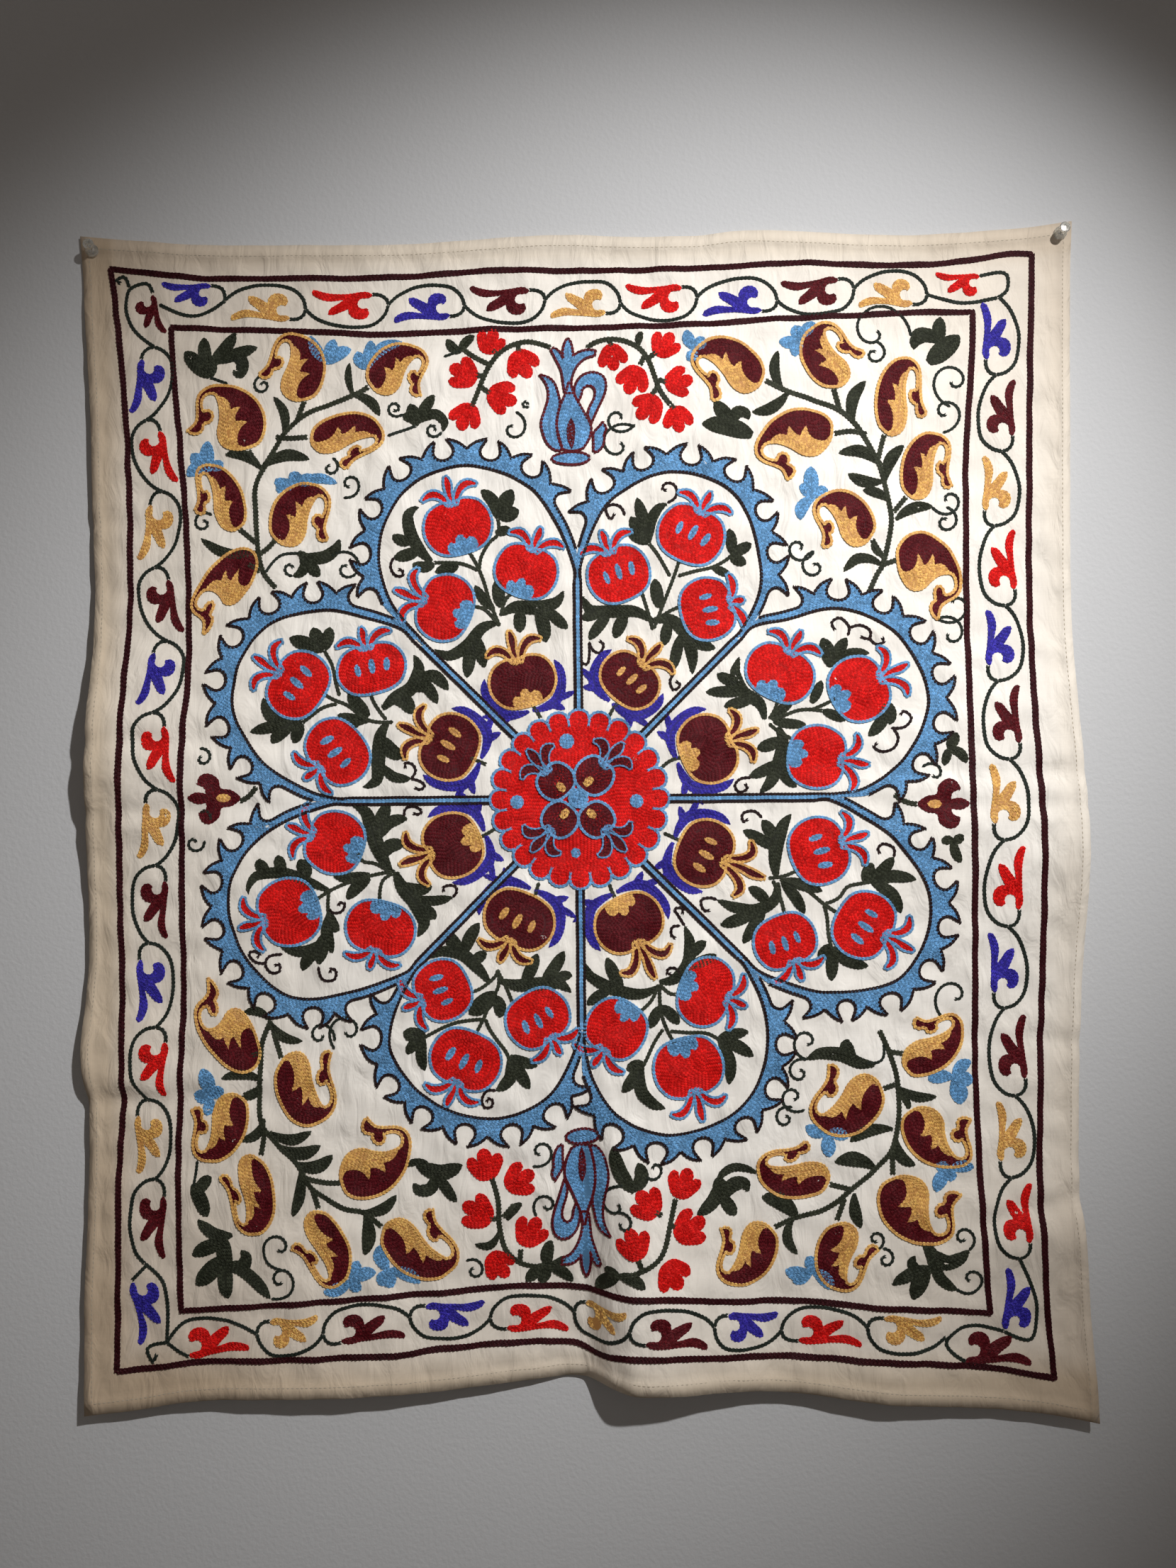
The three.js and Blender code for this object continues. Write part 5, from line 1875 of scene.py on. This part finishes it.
# Smaller ones, in the same columns.
CURLS = (
    (-119, -172, -127, -170, -1.1), (-154, -155, -161, -150, -1.3), (-255, -300, -257, -293, -0.8),
    (-220, -283, -206, -294, -1.2), (-284, -118, -281, -127, 1.2), (-218, -194, -220, -203, -1.0),
    (-208, -230, -203, -218, 1.1), (-328, -244, -336, -251, 1.2), (303, -92, 271, -87, 1.1),
    (271, -95, 270, -107, -1.1), (330, -179, 332, -161, 1.1), (337, -156, 340, -133, -1.2),
    (319, -246, 334, -240, 1.0), (332, -246, 331, -259, -1.1), (214, -284, 200, -281, -1.1),
    (214, -284, 214, -298, 1.1), (-277, -947, -269, -931, 1.2), (-268, -922, -270, -902, -1.1),
    (-220, -726, -208, -710, -1.1), (-220, -719, -233, -714, 1.1), (-103, -915, -96, -924, -1.1),
    (343, -906, 338, -895, 1.1), (332, -941, 345, -932, 1.1), (262, -905, 261, -896, 1.1),
    (267, -904, 269, -913, -1.1), (202, -738, 203, -722, -1.0), (203, -738, 196, -749, 1.1),
    (200, -782, 190, -771, -1.1), (189, -780, 183, -790, 1.1),
)
# The thin stalks of the lobed leaves.
STALKS = (
    ((-313, -125), (-329, -119)), ((-168, -175), (-142, -166)), ((-117, -103), (-101, -98)),
    ((-279, -297), (-266, -282), (-248, -280)), ((-345, -826), (-348, -848)),
    ((298, -899), (303, -901)), ((271, -724), (269, -738), (255, -741)),
)
MAIN_STEM = 4.9
TENDRIL_WIDTH = 2.6
BLUE_FULL = 1.3


def make_field():
    for x, z, turn, size in BLOSSOMS:
        fill(zone(z), "red", moved(outline(BLOSSOM), x, z, -turn, size))
    for rows in STEMS:
        stem(zone(rows[0][1]), curve(rows, False), width=MAIN_STEM)
    for row in LEAVES:
        leaves(zone(row[1]), "leaf", leaf(*row))
    for (x, z), tips in BLUE_SPRAYS:
        leaves(zone(z), "blue", *(leaf(x, z, *tip, wide * BLUE_FULL, bow) for *tip, wide, bow in tips))
    for spray in FIELD_SPRAYS:
        leaves(zone(spray[0][1][1]), "leaf", *(blade(*row) for row in spray))
    for row in TENDRILS + CURLS:
        vine(zone(row[1]), spiral(*row), width=TENDRIL_WIDTH)
    for path in STALKS:
        vine(zone(path[0][1]), curve(path, False), width=TENDRIL_WIDTH)


# The tulips at either side: a dark cup of three lobes with a gold drop.
TULIP = (
    (0, 0), (7, 8), (9, 17), (17, 19), (22, 27), (20, 34), (12, 37, 1), (9, 31), (4, 30, 1),
    (5, 39), (0, 46), (-5, 39), (-4, 30, 1), (-10, 31), (-13, 38, 1), (-21, 34), (-23, 27),
    (-17, 19), (-9, 17), (-7, 8),
)
TULIP_DROP = (0, 15, 3.6, 6.2)
# Base x, z, way it faces clockwise from up, size.
TULIPS = ((-303, -500, -90, 1.0), (302, -511, 90, 0.98))


def make_tulips():
    for x, z, turn, size in TULIPS:
        frame = Frame(x, z, turn)
        drop = frame(ring(*TULIP_DROP))
        fill("field_upper", "maroon", frame(outline(TULIP), size), holes=[drop])
        fill("field_upper", "gold", drop, lift=0.2)


def make_embroidery():
    make_border()
    make_paisleys()
    make_rays()
    make_petals()
    make_rosette()
    make_ewers()
    make_field()
    make_tulips()


# The cloth

# Its grid is finer across the gather, where its front also lies a little under the threads.
FINER = 1.3
FINE_MIDDLE = 15
FINE_REACH = 55
SINK = 0.4
SINK_X = 22
SINK_REACH = 45
SINK_EASE = 90
LINE_SAMPLES = 2000
# The width of the front and of the back in the map of the sheet.
MAP_SHARE = 0.49


def sheet_lines(length, hem, finer=0.0):
    """Grid lines across the cloth, with the hem's step at both ends, closer near its middle."""
    place = np.linspace(hem + HEM_SLOPE, length - hem - HEM_SLOPE, LINE_SAMPLES)
    share = 1 + finer * bell((place - length / 2 - FINE_MIDDLE) / FINE_REACH)
    run = np.concatenate([[0], np.cumsum((share[1:] + share[:-1]) / 2)])
    count = round(length / CELL * share.mean())
    inner = np.interp(np.linspace(0, run[-1], count), run, place)
    return np.concatenate([[0, hem], inner, [length - hem, length]])


def make_cloth():
    """A closed sheet: a front and a back on the same folds, joined round the rim."""
    across = sheet_lines(CLOTH_WIDTH, HEM_SIDE, FINER)
    down = sheet_lines(CLOTH_HEIGHT, HEM_ENDS)
    from_left, from_top = np.meshgrid(across, down)
    x, z = place_of(from_left, from_top)
    side = np.minimum(from_left, CLOTH_WIDTH - from_left) - HEM_SIDE
    end = np.minimum(from_top, CLOTH_HEIGHT - from_top) - HEM_ENDS
    hem = HEM_RISE * ease(1 - np.minimum(side, end) / HEM_SLOPE)
    far = stand_off(x, z)
    sink = SINK * bell((x - SINK_X) / SINK_REACH) * ease((GATHER_TOP - z) / SINK_EASE)
    front = np.stack([x, sink - far - hem, z], -1)
    back = np.stack([x, CLOTH_THICK - far, z], -1)
    rows, columns = x.shape
    at = np.arange(rows * columns).reshape(rows, columns)
    quads = lambda a, b, c, d: np.stack([a.ravel(), b.ravel(), c.ravel(), d.ravel()], -1)
    behind = at + rows * columns
    faces = np.concatenate([
        quads(at[:-1, :-1], at[1:, :-1], at[1:, 1:], at[:-1, 1:]),
        quads(behind[:-1, :-1], behind[:-1, 1:], behind[1:, 1:], behind[1:, :-1]),
        quads(at[0, :-1], at[0, 1:], behind[0, 1:], behind[0, :-1]),
        quads(at[-1, 1:], at[-1, :-1], behind[-1, :-1], behind[-1, 1:]),
        quads(at[1:, 0], at[:-1, 0], behind[:-1, 0], behind[1:, 0]),
        quads(at[:-1, -1], at[1:, -1], behind[1:, -1], behind[:-1, -1]),
    ])
    points = np.concatenate([front.reshape(-1, 3), back.reshape(-1, 3)]) * MM
    u, v = from_left.ravel() / CLOTH_WIDTH, 1 - from_top.ravel() / CLOTH_HEIGHT
    unwrapped = np.concatenate([
        np.stack([shift + u * MAP_SHARE, v], -1) for shift in (0, 1 - MAP_SHARE)])
    cloth = new_piece("cloth_sheet", points, faces, MATERIALS["cloth"], (("OFBake", unwrapped),))
    grid = front.reshape(rows, columns, 3) * MM
    wide = np.median(np.linalg.norm(np.diff(grid, axis=1), axis=2).sum(1))
    long = np.median(np.linalg.norm(np.diff(grid, axis=0), axis=2).sum(0))
    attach(cloth, "root")
    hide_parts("cloth")
    return cloth, (round(float(wide), 3), round(float(long), 3))


# The hem's stitches: how far from its inner edge and from the corners, from one to the next,
# and each one's length, width and height.
HEM_INSIDE = 1.2
HEM_CORNER = 8
HEM_STITCH_GAP = 4.2
HEM_STITCH = (3.4, 1.0, 0.45)
HEM_STITCH_LIFT = 0.02
HEM_STITCH_TONE = 0.6


def make_hem_stitches():
    """Running stitches that hold the turned hem."""
    ends, side = HEM_ENDS - HEM_INSIDE, HEM_SIDE - HEM_INSIDE
    for length, fixed, is_row in (
        (CLOTH_WIDTH, ends, True), (CLOTH_WIDTH, CLOTH_HEIGHT - ends, True),
        (CLOTH_HEIGHT, side, False), (CLOTH_HEIGHT, CLOTH_WIDTH - side, False),
    ):
        run = np.arange(HEM_CORNER, length - HEM_CORNER, 2.0)
        still = np.full_like(run, fixed)
        x, z = place_of(run, still) if is_row else place_of(still, run)
        centre, toward, _ = spaced(np.stack([x, z], -1), HEM_STITCH_GAP, False)
        add_grains("hem", "cream", centre, toward, *HEM_STITCH, HEM_RISE + HEM_STITCH_LIFT,
                   HEM_STITCH_TONE)


def make_threads():
    """One mesh for each colour of each part of the design, strands and the layer under them."""
    pieces = []
    for (piece, colour), parts in grains.items():
        points, faces, maps, shade = grain_mesh(np.concatenate(parts))
        # The layers under the stitches get a dark tone, as painted shade in the gaps between the
        # strands.
        for make, rows, tone in ((patch_mesh, patches, UNDER_PAINTED_SHADE), (ribbon_mesh, ribbons, LINE_TONE)):
            if (piece, colour) not in rows:
                continue
            more, more_faces, more_maps = make(rows[piece, colour])
            faces = np.concatenate([faces, more_faces + len(points)])
            points = np.concatenate([points, more])
            maps = [(label, np.concatenate([uv, extra]))
                    for (label, uv), (_, extra) in zip(maps, more_maps)]
            shade = np.concatenate([shade, np.full(len(more), tone)])
        thread = new_piece(f"{piece}_{colour}", points, faces, MATERIALS[colour], maps, shade)
        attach(thread, "root")
        pieces.append(thread)
    return pieces


# Pins

def scuffed_material(name, scale, detail, low, high):
    """A material whose roughness varies finely between two values."""
    material, nodes, links, shader = new_material(name)
    place = nodes.new("ShaderNodeTexCoord")
    scuff = add(nodes, "ShaderNodeTexNoise", Scale=scale, Detail=detail)
    links.new(place.outputs["Object"], scuff.inputs["Vector"])
    rough = add(nodes, "ShaderNodeMapRange", To_Min=low, To_Max=high)
    links.new(scuff.outputs["Fac"], rough.inputs["Value"])
    links.new(rough.outputs["Result"], shader.inputs["Roughness"])
    return material, shader


def clear_material():
    """Clear moulded plastic, slightly scuffed."""
    material, shader = scuffed_material("clear_plastic", scale=900.0, detail=4.0, low=0.04, high=0.22)
    shader.inputs["Base Color"].default_value = (0.93, 0.95, 0.94, 1)
    shader.inputs["Transmission Weight"].default_value = 0.9
    shader.inputs["IOR"].default_value = 1.49
    return material


def steel_material():
    """Bright drawn steel wire."""
    material, shader = scuffed_material("steel", scale=1400.0, detail=3.0, low=0.18, high=0.36)
    shader.inputs["Base Color"].default_value = (0.62, 0.63, 0.65, 1)
    shader.inputs["Metallic"].default_value = 1.0
    return material


def dress_pins():
    clear, steel = clear_material(), steel_material()
    for side in ("left", "right"):
        for kind, material in (("head", clear), ("needle", steel)):
            mesh = frame["nodes"][f"pin_{kind}_{side}"].data
            mesh.materials.clear()
            mesh.materials.append(material)


# The stage, the light and the camera

CAMERA_PLACE = (0.0302, -1.064, -0.5005)
CAMERA_YAW = -0.01944
CAMERA_PITCH = 0.009579
CAMERA_ROLL = -0.009357
LENS = 26.0
SENSOR_HEIGHT = 34.6
WALL_BEHIND = 0.0006
WALL_SIZE = 6.0
WALL_COLOUR = (0.56, 0.57, 0.585)
FLOOR_DROP = 0.45
FLOOR_COLOUR = (0.62, 0.62, 0.61)
KEY_PLACE = (0.83, -1.40, 0.52)
KEY_AIM = (0.034, 0, -0.469)
KEY_CONE = 0.85
KEY_RADIUS = 0.03
KEY_POWER = 165
KEY_COLOUR = (1.0, 0.985, 0.97)
WORLD_COLOUR = (1.0, 0.88, 0.78)
WORLD_STRENGTH = 0.13


def make_stage():
    """A pale wall that is seen from the front alone, and a pale floor."""
    half = WALL_SIZE / 2
    wall, nodes, links, shader = new_material("wall")
    shader.inputs["Base Color"].default_value = (*WALL_COLOUR, 1)
    shader.inputs["Roughness"].default_value = 0.9
    place = nodes.new("ShaderNodeTexCoord")
    grit = add(nodes, "ShaderNodeTexNoise", Scale=260.0, Detail=3.0)
    links.new(place.outputs["Object"], grit.inputs["Vector"])
    bump = add(nodes, "ShaderNodeBump", Strength=0.35, Distance=0.0012)
    links.new(grit.outputs["Fac"], bump.inputs["Height"])
    links.new(bump.outputs["Normal"], shader.inputs["Normal"])
    side = nodes.new("ShaderNodeNewGeometry")
    clear = nodes.new("ShaderNodeBsdfTransparent")
    either = nodes.new("ShaderNodeMixShader")
    links.new(side.outputs["Backfacing"], either.inputs["Fac"])
    links.new(shader.outputs["BSDF"], either.inputs[1])
    links.new(clear.outputs["BSDF"], either.inputs[2])
    links.new(either.outputs["Shader"], nodes["Material Output"].inputs["Surface"])
    y = WALL_BEHIND
    points = np.array([(-half, y, -half), (half, y, -half), (half, y, half), (-half, y, half)])
    backdrop = new_piece("backdrop", points, np.array([(0, 1, 2, 3)]), wall)
    backdrop.visible_shadow = False
    low = CAD_BOX[0][2] - FLOOR_DROP
    points = np.array([(-half, -half, low), (half, -half, low), (half, half, low), (-half, half, low)])
    matt, _, _, shader = new_material("floor")
    shader.inputs["Base Color"].default_value = (*FLOOR_COLOUR, 1)
    shader.inputs["Roughness"].default_value = 0.8
    new_piece("floor", points, np.array([(0, 1, 2, 3)]), matt)


def make_lights():
    """A soft spotlight from the upper right, as in a gallery, and a little light from all round."""
    light = bpy.data.lights.new("key", "SPOT")
    light.energy = KEY_POWER
    light.color = KEY_COLOUR
    light.spot_size = KEY_CONE
    light.spot_blend = 1.0
    light.shadow_soft_size = KEY_RADIUS
    lamp = bpy.data.objects.new("key", light)
    bpy.context.scene.collection.objects.link(lamp)
    lamp.location = KEY_PLACE
    way = Vector(KEY_AIM) - Vector(KEY_PLACE)
    lamp.rotation_euler = way.to_track_quat("-Z", "Y").to_euler()
    world = bpy.data.worlds.new("soft")
    world.use_nodes = True
    world.node_tree.nodes["Background"].inputs["Color"].default_value = (*WORLD_COLOUR, 1)
    world.node_tree.nodes["Background"].inputs["Strength"].default_value = WORLD_STRENGTH
    bpy.context.scene.world = world
    bpy.context.scene.view_settings.view_transform = "Standard"


def make_camera():
    data = bpy.data.cameras.new("camera")
    data.sensor_fit = "VERTICAL"
    data.sensor_height = SENSOR_HEIGHT
    data.lens = LENS
    camera = bpy.data.objects.new("camera", data)
    bpy.context.scene.collection.objects.link(camera)
    upright = Matrix.Rotation(math.pi / 2 + CAMERA_PITCH, 4, "X")
    turn = Matrix.Rotation(-CAMERA_YAW, 4, "Z")
    roll = Matrix.Rotation(CAMERA_ROLL, 4, "Z")
    camera.matrix_world = Matrix.Translation(CAMERA_PLACE) @ turn @ upright @ roll
    bpy.context.scene.camera = camera


make_camera()
make_lights()
make_stage()
dress_pins()
cloth, flat_size = make_cloth()
make_embroidery()
make_hem_stitches()
threads = make_threads()
